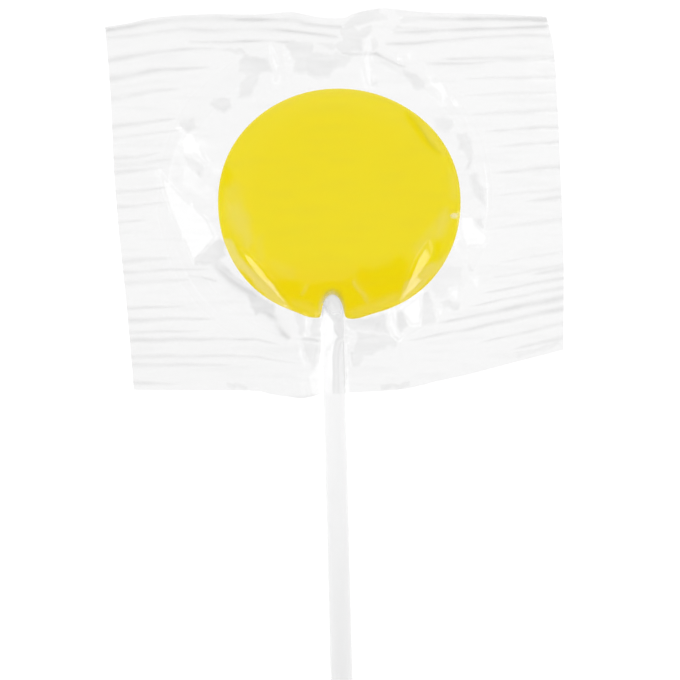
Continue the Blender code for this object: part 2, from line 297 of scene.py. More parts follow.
def makeMottleGroup():
    group = bpy.data.node_groups.new("fineMottle", "ShaderNodeTree")
    for name, way, kind in (
        ("Size", "INPUT", "NodeSocketFloat"), ("Stretch", "INPUT", "NodeSocketVector"),
        ("Value", "OUTPUT", "NodeSocketFloat"), ("Height", "OUTPUT", "NodeSocketFloat"),
    ):
        group.interface.new_socket(name, in_out=way, socket_type=kind)
    nodes, links = group.nodes, group.links
    entry = addNode(nodes, "NodeGroupInput", -800, 0)
    leave = addNode(nodes, "NodeGroupOutput", 400, 0)
    place = addNode(nodes, "ShaderNodeTexCoord", -800, -200)
    stretched = addNode(nodes, "ShaderNodeVectorMath", -600, -100, operation="MULTIPLY")
    links.new(place.outputs["Object"], stretched.inputs[0])
    links.new(entry.outputs["Stretch"], stretched.inputs[1])
    scale = addMath(nodes, links, "DIVIDE", -600, 100, 1.0, entry.outputs["Size"])
    fineScale = addMath(nodes, links, "MULTIPLY", -500, -300, scale, mottleLook["fineness"])
    layers = []
    for y, size, detail in ((150, scale, "broadDetail"), (-150, fineScale, "fineDetail")):
        layer = addNode(nodes, "ShaderNodeTexNoise", -350, y)
        layer.inputs["Detail"].default_value = mottleLook[detail]
        links.new(stretched.outputs[0], layer.inputs["Vector"])
        links.new(size, layer.inputs["Scale"])
        layers.append(layer.outputs[0])
    broad, fine = layers
    both = addMath(nodes, links, "MULTIPLY_ADD", 0, -100, fine, mottleLook["fineShare"], broad)
    links.new(broad, leave.inputs["Value"])
    links.new(both, leave.inputs["Height"])
    return group


mottleGroup = makeMottleGroup()


def addMottle(nodes, x, y, size, stretch=(1, 1, 1)):
    node = addNode(nodes, "ShaderNodeGroup", x, y, node_tree=mottleGroup)
    setInputs(node, {"Size": size * mm, "Stretch": stretch})
    return node


def finishSurface(nodes, links, shader, look, mottle, grain):
    # roughness, scattered light, gloss and grain of the candy and the stick
    low, spread = look["rough"]
    rough = addMath(nodes, links, "MULTIPLY_ADD", -500, -50, mottle.outputs["Value"], spread, low)
    links.new(rough, shader.inputs["Roughness"])
    setInputs(shader, {
        "Subsurface Weight": look["scatter"],
        "Subsurface Radius": look["scatterColour"],
        "Subsurface Scale": look["scatterReach"] * mm,
        "Specular IOR Level": look["gloss"],
    })
    strength, depth = look["grain"]
    addBump(nodes, links, -300, -250, grain.outputs["Height"], strength, depth, shader)


# camera, table and lights

photo = {
    "size": 680,
    "mmPerPixel": 0.1653,
    "candyMiddle": (339.0, 203.5),
    "lens": 100.0,
    "sensor": 36.0,
    "clipStart": 0.01,
}


def cameraPlace():
    across = photo["size"] * photo["mmPerPixel"]
    x = (photo["size"] / 2 - photo["candyMiddle"][0]) * photo["mmPerPixel"]
    y = (photo["candyMiddle"][1] - photo["size"] / 2) * photo["mmPerPixel"]
    return Vector((x, y, middle + across * photo["lens"] / photo["sensor"])) * mm


def makeCamera():
    data = bpy.data.cameras.new("camera")
    data.lens = photo["lens"]
    data.sensor_width = photo["sensor"]
    data.clip_start = photo["clipStart"]
    camera = addObject("camera", data)
    camera.location = cameraPlace()
    bpy.context.scene.camera = camera


tableLook = {"size": 6.0, "below": 0.01, "colour": grey(0.03), "rough": 0.9, "glow": 1.075}


def makeTable():
    half = tableLook["size"] / 2
    corners = [(-half, -half, 0), (half, -half, 0), (half, half, 0), (-half, half, 0)]
    mesh = bpy.data.meshes.new("table")
    mesh.from_pydata(corners, [], [(0, 1, 2, 3)])
    table = addObject("table", mesh)
    table.location.z = -tableLook["below"] * mm
    material, *_, shader = newMaterial("paleTable")
    setInputs(shader, {
        "Base Color": tableLook["colour"],
        "Roughness": tableLook["rough"],
        "Specular IOR Level": 0.0,
        "Emission Color": grey(1),
        "Emission Strength": tableLook["glow"],
    })
    mesh.materials.append(material)


studio = {
    "sky": 0.19,
    "northSky": 0.4,
    "southSky": 0.03,
    "horizon": 0.45,
    # where the sky changes, as a share of straight north or straight up
    "southFade": (-0.42, -0.28),
    "northFade": (0.3, 0.75),
    "horizonFade": (0.12, 0.38),
    "distance": 0.7,
    # azimuth from +X, elevation, half angles across and up, radiance
    "panels": {
        "west": (203, 66, 5, 5, 1.05),
        "tent": (170, 66, 5, 5, 2.9),
        "southWest": (-137, 7, 16, 2.5, 2.6),
        "southEast": (-40, 7, 14, 2.5, 2.6),
        "northEast": (45, 66, 5, 5, 1.15),
        "east": (-3, 66, 5, 5, 1.0),
    },
    "fill": 2.38,
    "fillAngle": 160,
    "fillLean": 13,  # towards the south
}


def makeSky():
    world = bpy.data.worlds.new("studioSky")
    bpy.context.scene.world = world
    world.use_nodes = True
    nodes, links = world.node_tree.nodes, world.node_tree.links
    axes = addAxes(nodes, links, -900, 0, "Generated")
    ranges = [
        ("Y", "southFade", studio["southSky"], studio["sky"]),
        ("Y", "northFade", 0.0, studio["northSky"] - studio["sky"]),
        ("Z", "horizonFade", studio["horizon"] - studio["sky"], 0.0),
    ]
    shade = None
    for k, (axis, edge, low, high) in enumerate(ranges):
        ramp = addRamp(nodes, links, -450, -250 * k, axes[axis], *studio[edge], low, high)
        shade = ramp if shade is None else addMath(nodes, links, "ADD", -200, 0, shade, ramp)
    links.new(shade, nodes["Background"].inputs["Strength"])
    nodes["Background"].inputs["Color"].default_value = grey(1)


def lampPlace(name):
    azimuth, elevation = (math.radians(angle) for angle in studio["panels"][name][:2])
    flat = math.cos(elevation)
    way = Vector((math.cos(azimuth) * flat, math.sin(azimuth) * flat, math.sin(elevation)))
    return way * studio["distance"]


def makePanels():
    for name, (*_, across, up, radiance) in studio["panels"].items():
        data = bpy.data.lights.new(name + "Panel", "AREA")
        data.shape = "RECTANGLE"
        data.size = 2 * studio["distance"] * math.tan(math.radians(across))
        data.size_y = 2 * studio["distance"] * math.tan(math.radians(up))
        data.energy = radiance * math.pi * data.size * data.size_y
        light = addObject(data.name, data)
        light.location = lampPlace(name)
        light.rotation_mode = "QUATERNION"
        light.rotation_quaternion = light.location.to_track_quat("Z", "Y")


def makeFill():
    data = bpy.data.lights.new("overheadFill", "SUN")
    data.energy = studio["fill"]
    data.angle = math.radians(studio["fillAngle"])
    light = addObject(data.name, data)
    light.visible_glossy = False
    light.location.z = studio["distance"]
    light.rotation_euler.x = math.radians(studio["fillLean"])


# candy

candyMesh = {
    "round": 360,
    "archPoints": 44,
    "faceRings": 14,
    "edgeRings": 22,
    "innerShare": 0.74,
    "faceWave": 0.05,
    "waveSize": 7,
    "waveSeed": 3,
    "seam": 0.06,
    "seamSpread": 0.16,
}


def candyOutline():
    half = notchShape["halfWidth"]
    opening = half / (candyShape["tall"] / 2)
    stop = opening * notchShape["edgeStop"]
    angles = np.linspace(notchAngle + stop, notchAngle + tau - stop, candyMesh["round"])
    radius = candyRadius(angles) + lipHeight(angles)
    outer = np.stack([radius * np.cos(angles), radius * np.sin(angles)], axis=-1)
    turns = np.linspace(math.pi, 0, candyMesh["archPoints"])
    rise = notchShape["depth"] * np.sin(turns) - candyShape["tall"] / 2
    arch = stickPoint(half * np.cos(turns), rise, 0.0)[:, :2]
    outline = np.vstack([outer, arch])
    archAngles = notchAngle + np.linspace(-opening, opening, candyMesh["archPoints"])
    allAngles = np.concatenate([angles, archAngles])
    rounded = outline.copy()
    for _ in range(notchShape["cornerPasses"]):
        rounded = (np.roll(rounded, 1, axis=0) + 2 * rounded + np.roll(rounded, -1, axis=0)) / 4
    away = np.abs((allAngles - notchAngle + math.pi) % tau - math.pi)
    near = away < notchShape["cornerReach"] * opening
    outline[near] = rounded[near]
    innerRadius = candyRadius(allAngles) * candyMesh["innerShare"]
    inner = np.stack([innerRadius * np.cos(allAngles), innerRadius * np.sin(allAngles)], axis=-1)
    return outline, inner


def candyRings():
    outline, inner = candyOutline()
    flat, innerShare = candyShape["flat"], candyMesh["innerShare"]
    shares = list(np.linspace(0, flat, candyMesh["faceRings"] + 1)[1:])
    heights = [candyHalf] * len(shares)
    turns = np.linspace(0, math.pi / 2, candyMesh["edgeRings"] + 1)[1:]
    shares += list(flat + (1 - flat) * np.sin(turns))
    heights += list(candyHalf * np.cos(turns))
    rings = []
    for share, height in zip(shares, heights):
        if share <= innerShare:
            ring = inner * share / innerShare
        else:
            ring = mixed(inner, outline, (share - innerShare) / (1 - innerShare))
        rings.append(np.column_stack([ring, np.full(len(ring), height)]))
    front = np.array(rings)
    return np.vstack([front, front[-2::-1] * np.array([1, 1, -1])])


def makeCandy():
    points = candyRings()
    wave = softNoise(points, candyMesh["waveSize"], candyMesh["waveSeed"]) * candyMesh["faceWave"]
    points[..., 2] += wave * np.sign(points[..., 2])
    seam = candyMesh["seam"] * bell(points[..., 2] / candyMesh["seamSpread"])
    length = np.linalg.norm(points[..., :2], axis=-1)
    points[..., :2] *= (1 + seam / np.maximum(length, 1))[..., None]
    points[..., 2] += middle
    piece = meshFromGrid("candyDisc", points, closedAcross=True)
    closeEnds(piece, points.shape[1], (0, 0, middle + candyHalf), (0, 0, middle - candyHalf))
    # keeps the film and the stick next to it from turning yellow
    piece.visible_glossy = False
    piece.visible_diffuse = False
    finishPiece(piece, candyMaterial(), "candy")
    print("candy made:", len(piece.data.vertices), "points")


candyLook = {
    "deep": (0.955, 0.772, 0.001, 1),
    "pale": (0.98, 0.794, 0.001, 1),
    # painted shade: the darker, more orange colour towards the stick, and where it starts and ends
    "nearStickShade": (0.965, 0.748, 0.001, 1),
    "nearStickShadeFrom": -8.0,
    "nearStickShadeTo": -13.0,
    "mottleSize": 9,
    "rough": (0.35, 0.2),  # lowest, and what the mottle adds
    "scatter": 0.3,
    "scatterColour": (1.0, 0.75, 0.1),
    "scatterReach": 1.0,
    "gloss": 0.03,
    "grainSize": 1.6,
    "grain": (0.2, 0.06),  # strength, depth
}


def candyMaterial():
    material, nodes, links, shader = newMaterial("lemonCandy")
    mottle = addMottle(nodes, -900, 100, candyLook["mottleSize"])
    share = mottle.outputs["Value"]
    colour = addColours(nodes, links, -500, 200, share, candyLook["deep"], candyLook["pale"])
    # painted shade: the candy's colour turns darker and more orange towards the stick
    up = addAxes(nodes, links, -900, 500, "Object")["Y"]
    near = addRamp(nodes, links, -500, 500, up, candyLook["nearStickShadeFrom"] * mm, candyLook["nearStickShadeTo"] * mm)
    shadedNearStick = addColours(nodes, links, -200, 300, near, colour, candyLook["nearStickShade"])
    links.new(shadedNearStick, shader.inputs["Base Color"])
    fine = addMottle(nodes, -900, -300, candyLook["grainSize"])
    finishSurface(nodes, links, shader, candyLook, mottle, fine)
    return material


# stick

stickMesh = {
    "sides": 64,
    "rings": 140,
    "roundPoints": 5,
    "capShare": 0.5,  # radius of the ring on each flat end
    "wave": 0.015,
    "waveSize": 6,
    "waveSeed": 9,
}


def makeStick():
    radius, length, edge = stickShape["radius"], stickShape["length"], stickShape["endRound"]
    turns = np.linspace(0, math.pi / 2, stickMesh["roundPoints"])
    corner = [(edge * (1 - math.sin(t)), radius - edge * (1 - math.cos(t))) for t in turns[::-1]]
    startSide = [(0, radius * stickMesh["capShare"])] + corner
    steps = np.linspace(edge, length - edge, stickMesh["rings"])[1:-1]
    endSide = [(length - a, r) for a, r in reversed(startSide)]
    profile = startSide + [(a, radius) for a in steps] + endSide
    start = stickShape["inCandy"] - notchEnd
    turn = np.linspace(0, tau, stickMesh["sides"], endpoint=False)
    points = np.array([
        stickPoint(r * np.cos(turn), np.full_like(turn, start - a), middle + r * np.sin(turn))
        for a, r in profile
    ])
    wave = softNoise(points, stickMesh["waveSize"], stickMesh["waveSeed"]) * stickMesh["wave"]
    points += wave[..., None] * np.array([1, 0, 1])
    piece = meshFromGrid("stickRod", points, closedAcross=True)
    closeEnds(piece, len(turn), stickPoint(0, start, middle), stickPoint(0, start - length, middle))
    finishPiece(piece, stickMaterial(), "stick")
    print("stick made:", len(piece.data.vertices), "points")


stickLook = {
    "low": grey(0.882),
    "high": grey(0.904),
    # painted shade: how dark the far end is painted
    "paintedEndShade": 0.905,
    "fibreSize": 1.4,
    "fibreStretch": (1, 0.08, 1),
    "rough": (0.45, 0.2),  # lowest, and what the fibre adds
    "scatter": 1.0,
    "scatterColour": (1.0, 1.0, 1.0),
    "scatterReach": 1.5,
    "gloss": 0.3,
    "grain": (0.2, 0.03),  # strength, depth
}


def stickMaterial():
    material, nodes, links, shader = newMaterial("whiteStick")
    fibre = addMottle(nodes, -900, 100, stickLook["fibreSize"], stickLook["fibreStretch"])
    share = fibre.outputs["Value"]
    colour = addColours(nodes, links, -700, 200, share, stickLook["low"], stickLook["high"])
    # painted shade: greyer from the film's edge to the far end
    up = addAxes(nodes, links, -1100, 500, "Object")["Y"]
    ends = stickLow.y, filmLow.y, stickLook["paintedEndShade"], 1.0
    shade = addRamp(nodes, links, -700, 500, up, *ends, way="LINEAR")
    shaded = addNode(nodes, "ShaderNodeVectorMath", -300, 300, operation="SCALE")
    links.new(colour, shaded.inputs[0])
    links.new(shade, shaded.inputs["Scale"])
    links.new(shaded.outputs[0], shader.inputs["Base Color"])
    finishSurface(nodes, links, shader, stickLook, fibre, fibre)
    return material


# film

sheet = {
    "columns": 330,
    "rows": 296,
    "across": 73,  # turns the ribs' lengths into shares of the sheet
    "top": [
        (-38.7, 29.2), (-34.5, 29.9), (-31.0, 30.7), (-23.0, 31.3), (-13.1, 31.3), (-8.1, 31.7),
        (-6.1, 31.4), (-3.1, 30.8), (0.7, 30.7), (2.1, 31.3), (4.3, 31.9), (6.8, 32.3), (9.3, 32.2),
        (13.4, 31.7), (26.6, 31.3), (34.3, 30.9),
    ],
    "bottom": [
        (-33.9, -30.8), (-24.0, -30.9), (-13.4, -31.0), (-11.4, -31.5), (-8.1, -32.0), (-6.0, -32.2),
        (-4.5, -31.9), (-3.1, -31.5), (1.2, -31.3), (8.4, -30.9), (11.7, -30.5), (16.7, -29.3),
        (21.7, -28.2), (26.6, -26.9), (37.1, -24.2),
    ],
    # these two as height, then distance from the middle
    "left": [(-30.8, -33.9), (-17.1, -35.1), (0.9, -36.9), (19.6, -37.9), (29.2, -38.7)],
    "right": [(-24.2, 37.1), (-8.3, 37.1), (8.0, 36.5), (16.3, 36.1), (26.2, 35.4), (30.9, 34.3)],
    "apart": 0.03,
    "curl": 0.45,
    # length of the curl's waves for each radian, turn
    "curlAcross": (17, 0.6),
    "curlUp": (21, -0.4),
    # these two as distance past the candy's edge
    "curlFade": (6, 20),
    "looseFade": (3, 8),
}

pocket = {
    "cling": 0.06,  # gap between the film and what it lies on
    # distance past the candy's edge, height over the seal
    "frontProfile": [(-5.9, 4.32), (-3.1, 3.77), (6.5, 0.0)],
    "backProfile": [(-5.9, 4.82), (-3.1, 4.2), (6.5, 0.0)],
    "leftReach": 0.35,  # how much further the pocket reaches towards the upper left
    "leftReachTurn": math.radians(155),
    # where the ring of creases round the candy starts and ends
    "ringStart": (-1.5, 0.5),
    "ringEnd": (4, 8),
    "footInset": 0.5,
    "footWidth": 1.5,
    "rim": 0.985,  # share of the candy's radius up to which it holds the film
    # where the film leaves the stick, across and up in stick radii, and how steep it drops
    "stickTurn": (0.8, 0.6),
    "stickSlope": math.tan(math.radians(60)),
    "stickBlend": 0.4,
    "offTable": 0.03,
    "uncovered": -99.0,  # far below everything
}

# film drawn taut so that it mirrors a lamp: the lamp, width of its skirt, corners
tautFacets = {
    "leftTriangle": ("west", 0.3, [(-29.6, 5.5), (-25.1, 0.4), (-21.7, -2.6), (-20.2, -5.7), (-24.1, -9.8),
        (-25.5, -6.2), (-27.8, -1.7), (-29.1, 2.2)]),
    "upperLeft": ("west", 0.3, [(-25.3, 11.7), (-23.6, 11.5), (-23, 9.5), (-21.3, 6.5), (-22.5, 6.4),
        (-24, 8.2), (-25.3, 8.2), (-26.3, 9.8)]),
    "upperLeftDot": ("west", 0.3, [(-26.8, 12.6), (-25.6, 12.8), (-25.6, 12), (-26.6, 12)]),
    "topStreak": ("west", 0.2, [(-11.4, 25.9), (-10.9, 25.5), (-10.4, 24.4), (-10, 23.4), (-9.8, 21.2),
        (-10.1, 19.8), (-10.7, 19.9), (-10.9, 22.1), (-11.4, 23.7)]),
    "topStreakSmall": ("west", 0.2, [(-9.1, 25.9), (-8.6, 25.4), (-7.9, 23.7), (-8.1, 22.7), (-8.6, 23.2),
        (-9.3, 24.7)]),
    "topRightStreak": ("west", 0.2, [(4.5, 27), (4.8, 27.3), (5.2, 26.4), (5.5, 23.4), (5.7, 19.1),
        (4.5, 19.1), (3.8, 22.1), (3.8, 23.7), (4.3, 25.7)]),
    "threadStreak": ("west", 0.2, [(9.8, 24.4), (10.2, 24.2), (10.6, 23.1), (9.8, 23.1)]),
    "threadStreakRight": ("west", 0.2, [(11.7, 25), (12.1, 24.7), (12.3, 23.4), (11.8, 23.4)]),
    "gatherStreak": ("west", 0.2, [(-6, -18.3), (-5, -18.8), (-4.9, -21.7), (-5.5, -21.9), (-5.9, -20.1)]),
    "gatherArm": ("west", 0.2, [(-6.8, -22.9), (-6, -23.6), (-5.6, -25.4), (-4.6, -27.2), (-5.1, -27.2),
        (-6.3, -25.5)]),
    "cornerStreak": ("northEast", 0.2, [(14.5, 21.7), (15, 21.6), (15.5, 20.2), (16.7, 19.9), (17.7, 17.9),
        (17.7, 16.4), (16.4, 16.4), (16.7, 17.6), (15.5, 19.1), (14.9, 19.4)]),
    "cornerPatch": ("northEast", 0.2, [(18.5, 17.3), (19.5, 16.8), (20, 16), (19.2, 16)]),
    "cornerDot": ("northEast", 0.2, [(14.7, 17.1), (15.7, 17.1), (15.7, 16.6), (14.7, 16.6)]),
    "rightPatch": ("east", 0.3, [(19.8, -1.6), (20.5, -2.1), (21.8, -2.1), (22.5, -3.6), (24.5, -5),
        (24.8, -6), (23.8, -7.2), (20.8, -7), (20, -5.7), (19.8, -3.7)]),
    "rightDot": ("east", 0.2, [(23, -0.9), (23.8, -0.7), (24.3, -2.1), (23.3, -2.4)]),
    "rightDotUpper": ("east", 0.2, [(23.8, 3.6), (24.6, 3.2), (24.5, 2.7), (23.8, 2.9)]),
    "rightLine": ("east", 0.2, [(19.2, -6.5), (19.7, -6.5), (21.3, -10.2), (20.8, -10.3)]),
    "rightTail": ("east", 0.2, [(20.8, -10.3), (21.3, -10.3), (22, -12.1), (23.3, -12.1), (22.6, -14.3),
        (22, -13.3), (21, -12)]),
    "gatherRight": ("east", 0.2, [(1, -19.9), (1.8, -20.2), (2.8, -21.7), (2.1, -21.9), (1.3, -21.1)]),
    "gatherRightDot": ("east", 0.2, [(1.2, -21.9), (1.7, -22.1), (1.8, -23.1), (1.3, -23.1)]),
    "lowerRight": ("east", 0.3, [(10.4, -17.3), (12.1, -16), (13.6, -14.8), (13.5, -20.1), (11.7, -20.2),
        (10.9, -18.6)]),
    "lowerRightBand": ("east", 0.2, [(7.9, -18.1), (9.1, -17.9), (9.3, -19.6), (9.9, -21.4), (10.9, -21.7),
        (9.9, -22.9), (8.8, -21.9), (8.1, -20.2)]),
    "lowerRightDot": ("east", 0.2, [(16.2, -17.4), (17, -17.6), (16.9, -18.8), (16.2, -18.6)]),
    "sideDot": ("east", 0.2, [(18.3, -14.1), (19.3, -14.1), (19.7, -15.3), (19.2, -16.3), (18.3, -15.1)]),
    "rightLeaf": ("southEast", 0.2, [(14.7, -6.4), (15.2, -7.7), (15, -9), (14.6, -10), (13.9, -10.7),
        (13.2, -11.5), (12.9, -12.4), (13.9, -12.7), (13.4, -13.6), (12.6, -14.4), (11.7, -15.2),
        (10.9, -15.9), (10.2, -16.3), (10.4, -15.1), (10.6, -14.1), (11.2, -12.8), (11.7, -11.3),
        (12.2, -10), (12.7, -8.9), (13.5, -7.7), (14.2, -6.7)]),
    "leftLeaf": ("southWest", 0.2, [(-16.7, -7.4), (-15.7, -7.4), (-14.7, -8.3), (-13.9, -9.1),
        (-13.1, -10), (-12.2, -10.9), (-11.6, -11.9), (-10.7, -12.8), (-10.1, -13.6), (-9.6, -14.5),
        (-8.8, -15.6), (-7.8, -16.8), (-9.1, -16.8), (-10.1, -15.9), (-11.1, -14.6), (-11.9, -13.6),
        (-12.7, -12.6), (-13.7, -11.8), (-14.5, -10.8), (-15.2, -9.8), (-15.9, -8.8)]),
    "tent": ("tent", 1.2, [(-2.8, -17.1), (-2.1, -17.3), (-1.7, -18.1), (-1, -19.3), (-0.7, -21.1),
        (0.2, -21.9), (-0.2, -23.2), (-0.5, -25), (-0.5, -31.7), (-4.6, -31.7), (-5.3, -28.8),
        (-4.3, -27.5), (-3.5, -25.9), (-3.1, -23.4), (-3, -20.9), (-3, -18.9)]),
    "stickStrip": ("east", 0.2, [(-0.1, -22.9), (1.1, -22.4), (1.4, -31.5), (-0.4, -31.5), (-0.4, -25)]),
}

# these bend round the candy's edge
bentFacets = ("rightLeaf", "leftLeaf")

# painted shade on the film: how dark it looks, corners
shadedPatches = {
    "topArch": (0.36, [(-20, 25.7), (-16.4, 25.7), (-15.2, 24.7), (-12.4, 23.9), (-11.2, 22.7),
        (-11.2, 21.7), (-13.2, 21.7), (-13.7, 19.8), (-15, 17.4), (-16.7, 17.3), (-16.2, 19.1),
        (-15.2, 21.2), (-16.5, 21.9), (-16.4, 23.4), (-15.9, 24.4), (-16.7, 24.9), (-18.8, 24.9)]),
    "upperLeftBlob": (0.5, [(-21.3, 16.4), (-20.5, 17.3), (-19.2, 17.6), (-17.9, 17.4), (-17.9, 16),
        (-19, 15), (-20.3, 15.5)]),
    "topWedge": (0.34, [(-9.3, 26.5), (-8.4, 26.9), (-4.5, 26.9), (-4.3, 24.9), (0.5, 24.7), (2.3, 24.4),
        (1, 22.9), (-0.7, 22.2), (-1.5, 21.1), (-4.3, 20.7), (-5.5, 21.7), (-7.6, 21.9), (-7.3, 23.6),
        (-8.1, 25)]),
    "topWedgeCore": (0.42, [(-6, 23.7), (1, 24.2), (-0.8, 22.4), (-1.8, 21.1), (-4.3, 20.9), (-5.6, 22.1)]),
    "topBump": (0.32, [(0.5, 29.3), (1.8, 30.8), (3.5, 31.5), (6.8, 32.3), (7.1, 31.3), (7.9, 31),
        (7.9, 30.3), (5.5, 30.2), (2.1, 29.2)]),
    "topBumpFoot": (0.4, [(0, 28.7), (1, 29.3), (2.3, 29.5), (3.3, 28.7), (5.6, 29.3), (5.3, 28.5), (4, 27),
        (3.8, 25.5), (1.5, 24.7), (0.2, 24.9), (-0.8, 26.2), (0.3, 26.9)]),
    "bumpLeft": (0.26, [(-4, 26.5), (-1, 26.7), (-0.2, 25.9), (-0.8, 25.4), (-2.5, 26)]),
    "bumpRight": (0.28, [(5.3, 27), (6.3, 27.2), (6.4, 25.7), (5.8, 24.9), (5.3, 25.4)]),
    "topRightEdge": (0.22, [(9.6, 31.8), (12.7, 32), (15, 31.3), (17.5, 30.5), (12.7, 30), (9.9, 30)]),
    "rightSecondStart": (0.25, [(8.6, 28.7), (9.6, 29.3), (12.6, 29.2), (16.7, 28.7), (15, 27.9),
        (9.1, 28)]),
    "candyTopShade": (0.2, [(6.8, 23.7), (8.8, 23.2), (10.4, 22.1), (10.4, 21.1), (8.9, 22.1),
        (7.4, 22.9)]),
    "speck": (0.6, [(5.3, 20.2), (6.1, 20.2), (6.4, 19.8), (5.8, 19.5)]),
    "cornerDark": (0.44, [(10.4, 22.6), (11.2, 21.9), (13.2, 21.2), (14.1, 19.9), (14.1, 18.8),
        (13.2, 18.9), (11.9, 19.9), (10.9, 20.9)]),
    "rightUpper": (0.34, [(15.4, 13.8), (16.2, 14.3), (18.7, 14), (18.7, 12.6), (18.2, 12.1), (16.9, 12),
        (16.2, 12.6)]),
    "rightMiddle": (0.4, [(19.5, 11.2), (21, 11.7), (22, 10.3), (22, 7.2), (21.5, 5.7), (20.8, 5.4),
        (21.3, 7.2), (20.7, 8.5), (19.8, 9.2)]),
    "rightLower": (0.36, [(21.7, 4.9), (22.8, 5), (23.3, 3.4), (24.1, 2.6), (24.1, -0.4), (23.6, -0.4),
        (23.1, 1.2), (22, 1.9)]),
    "rightLowerCore": (0.5, [(23, 3.4), (23.8, 2.7), (23.8, 1.9), (23.1, 2.2)]),
    "rightSmall": (0.36, [(22.3, -2.6), (23.6, -2.4), (24, -4), (23.3, -4.2), (22.6, -3.6)]),
    "leftUnder": (0.58, [(-23.8, -9.8), (-23.8, -9), (-22.6, -7.9), (-20.8, -6.4), (-19.7, -5.5), (-19, -7),
        (-18.8, -8.3), (-19.8, -9.7), (-19.5, -11), (-21, -10.3)]),
    "leftWedge": (0.5, [(-19.8, -9.7), (-18.7, -10.3), (-17.7, -11.3), (-15.2, -13.6), (-16.4, -13.6),
        (-18.3, -12.3), (-19.7, -11.2)]),
    "rimLeft": (0.72, [(-15.4, -14.6), (-13.7, -15), (-12.4, -16), (-10.7, -16.6), (-10.6, -18.3),
        (-12.1, -17.9), (-13.6, -18.3), (-14.5, -17.3), (-14.9, -15.8)]),
    "creaseShade": (0.3, [(-12.4, -18.1), (-11.2, -18.3), (-9.4, -21.6), (-9.3, -22.4), (-10.4, -21.1)]),
    "gatherBand": (0.34, [(-7.3, -17.8), (-6.1, -18.1), (-5.6, -20.2), (-5.6, -22.1), (-6.3, -22.1),
        (-6.8, -19.9)]),
    "gatherPatch": (0.4, [(-4.6, -19.1), (-3, -18.9), (-3.1, -22.2), (-5, -22.1)]),
    "gatherWedge": (0.3, [(-6, -22.9), (-3.1, -23.1), (-3.3, -25.2), (-4.5, -27.5), (-5, -25.7),
        (-5.6, -25)]),
    "sideRibDark": (0.36, [(-26.6, 13.5), (-24, 14.1), (-23.6, 12.5), (-24.8, 11.8), (-25.6, 12.5)]),
    "upperLeftDark": (0.4, [(-25.6, 7.7), (-24.3, 7.5), (-22.3, 6.2), (-23, 4.4), (-24.6, 5.5)]),
    "rimRight": (0.46, [(1, -19.4), (2.1, -19.1), (4.5, -19.1), (7.9, -17.9), (7.9, -21.6), (6.4, -21.4),
        (3.8, -20.7), (2, -20.6)]),
    "rimRightCore": (0.6, [(5.6, -19.6), (7.1, -19.8), (6.9, -20.9), (5.6, -20.9)]),
    "gatherRightDark": (0.34, [(3, -21.2), (5.1, -21.4), (9.6, -22.2), (9.8, -23.4), (6.8, -23.7),
        (6.3, -24.5), (4, -25.2), (3.6, -26.9), (2.1, -26.9), (1.8, -25.2), (2.8, -23.1)]),
    "stickWedge": (0.65, [(1.5, -24.7), (2, -24.5), (2.6, -25.9), (2.3, -26.4)]),
    "lowerRightGap": (0.44, [(9.3, -17.9), (10.4, -17.6), (11.4, -20.1), (10.9, -21.1), (10.1, -21.4),
        (9.4, -19.6)]),
    "lowerRightDark": (0.44, [(13.8, -14.6), (14.9, -14.3), (15.7, -17.4), (16, -19.4), (15.2, -20.2),
        (13.6, -20.2)]),
    "sideDark": (0.4, [(16.7, -16.3), (17.9, -16), (19.7, -16.4), (19.5, -17.4), (17.4, -17.4)]),
    "sideGrey": (0.2, [(15, -12.6), (17.5, -10), (20.3, -10.7), (20.3, -13.5), (18.3, -13.8), (17.9, -15.8),
        (16, -15.8)]),
    "rightStreak": (0.4, [(21, -9.3), (21.3, -9.5), (22, -11.2), (21.5, -11.2)]),
    "bottomRight": (0.4, [(7.1, -29.8), (9.3, -30), (11.4, -29.5), (11.6, -30.5), (7.4, -30.8)]),
    "bottomRightEdge": (0.3, [(29.1, -24.5), (33.2, -23.7), (36.7, -22.4), (36.7, -23.4), (32.4, -24.7),
        (29.4, -25.5)]),
    "bottomLeft": (0.3, [(-18.5, -29.7), (-17, -29.5), (-15.2, -30.2), (-15.5, -30.7), (-18.3, -30.3)]),
    "stickEdge": (0.4, [(0.7, -18.9), (1.2, -19.6), (1.3, -29.8), (0.8, -29.8)]),
    "notchShade": (0.6, [(-2.8, -16.9), (-2.6, -15.8), (-1.8, -15), (-1, -14.8), (-0.2, -15.5),
        (0.5, -16.8), (0.8, -17.9), (0, -17.4), (-0.8, -16.6), (-1.7, -16.9), (-2.3, -17.3)]),
    "stickShade": (0.25, [(-1, -18.9), (-0.5, -20.7), (0.3, -21.6), (1, -23.4), (-0.2, -23.1),
        (-1, -21.6)]),
}
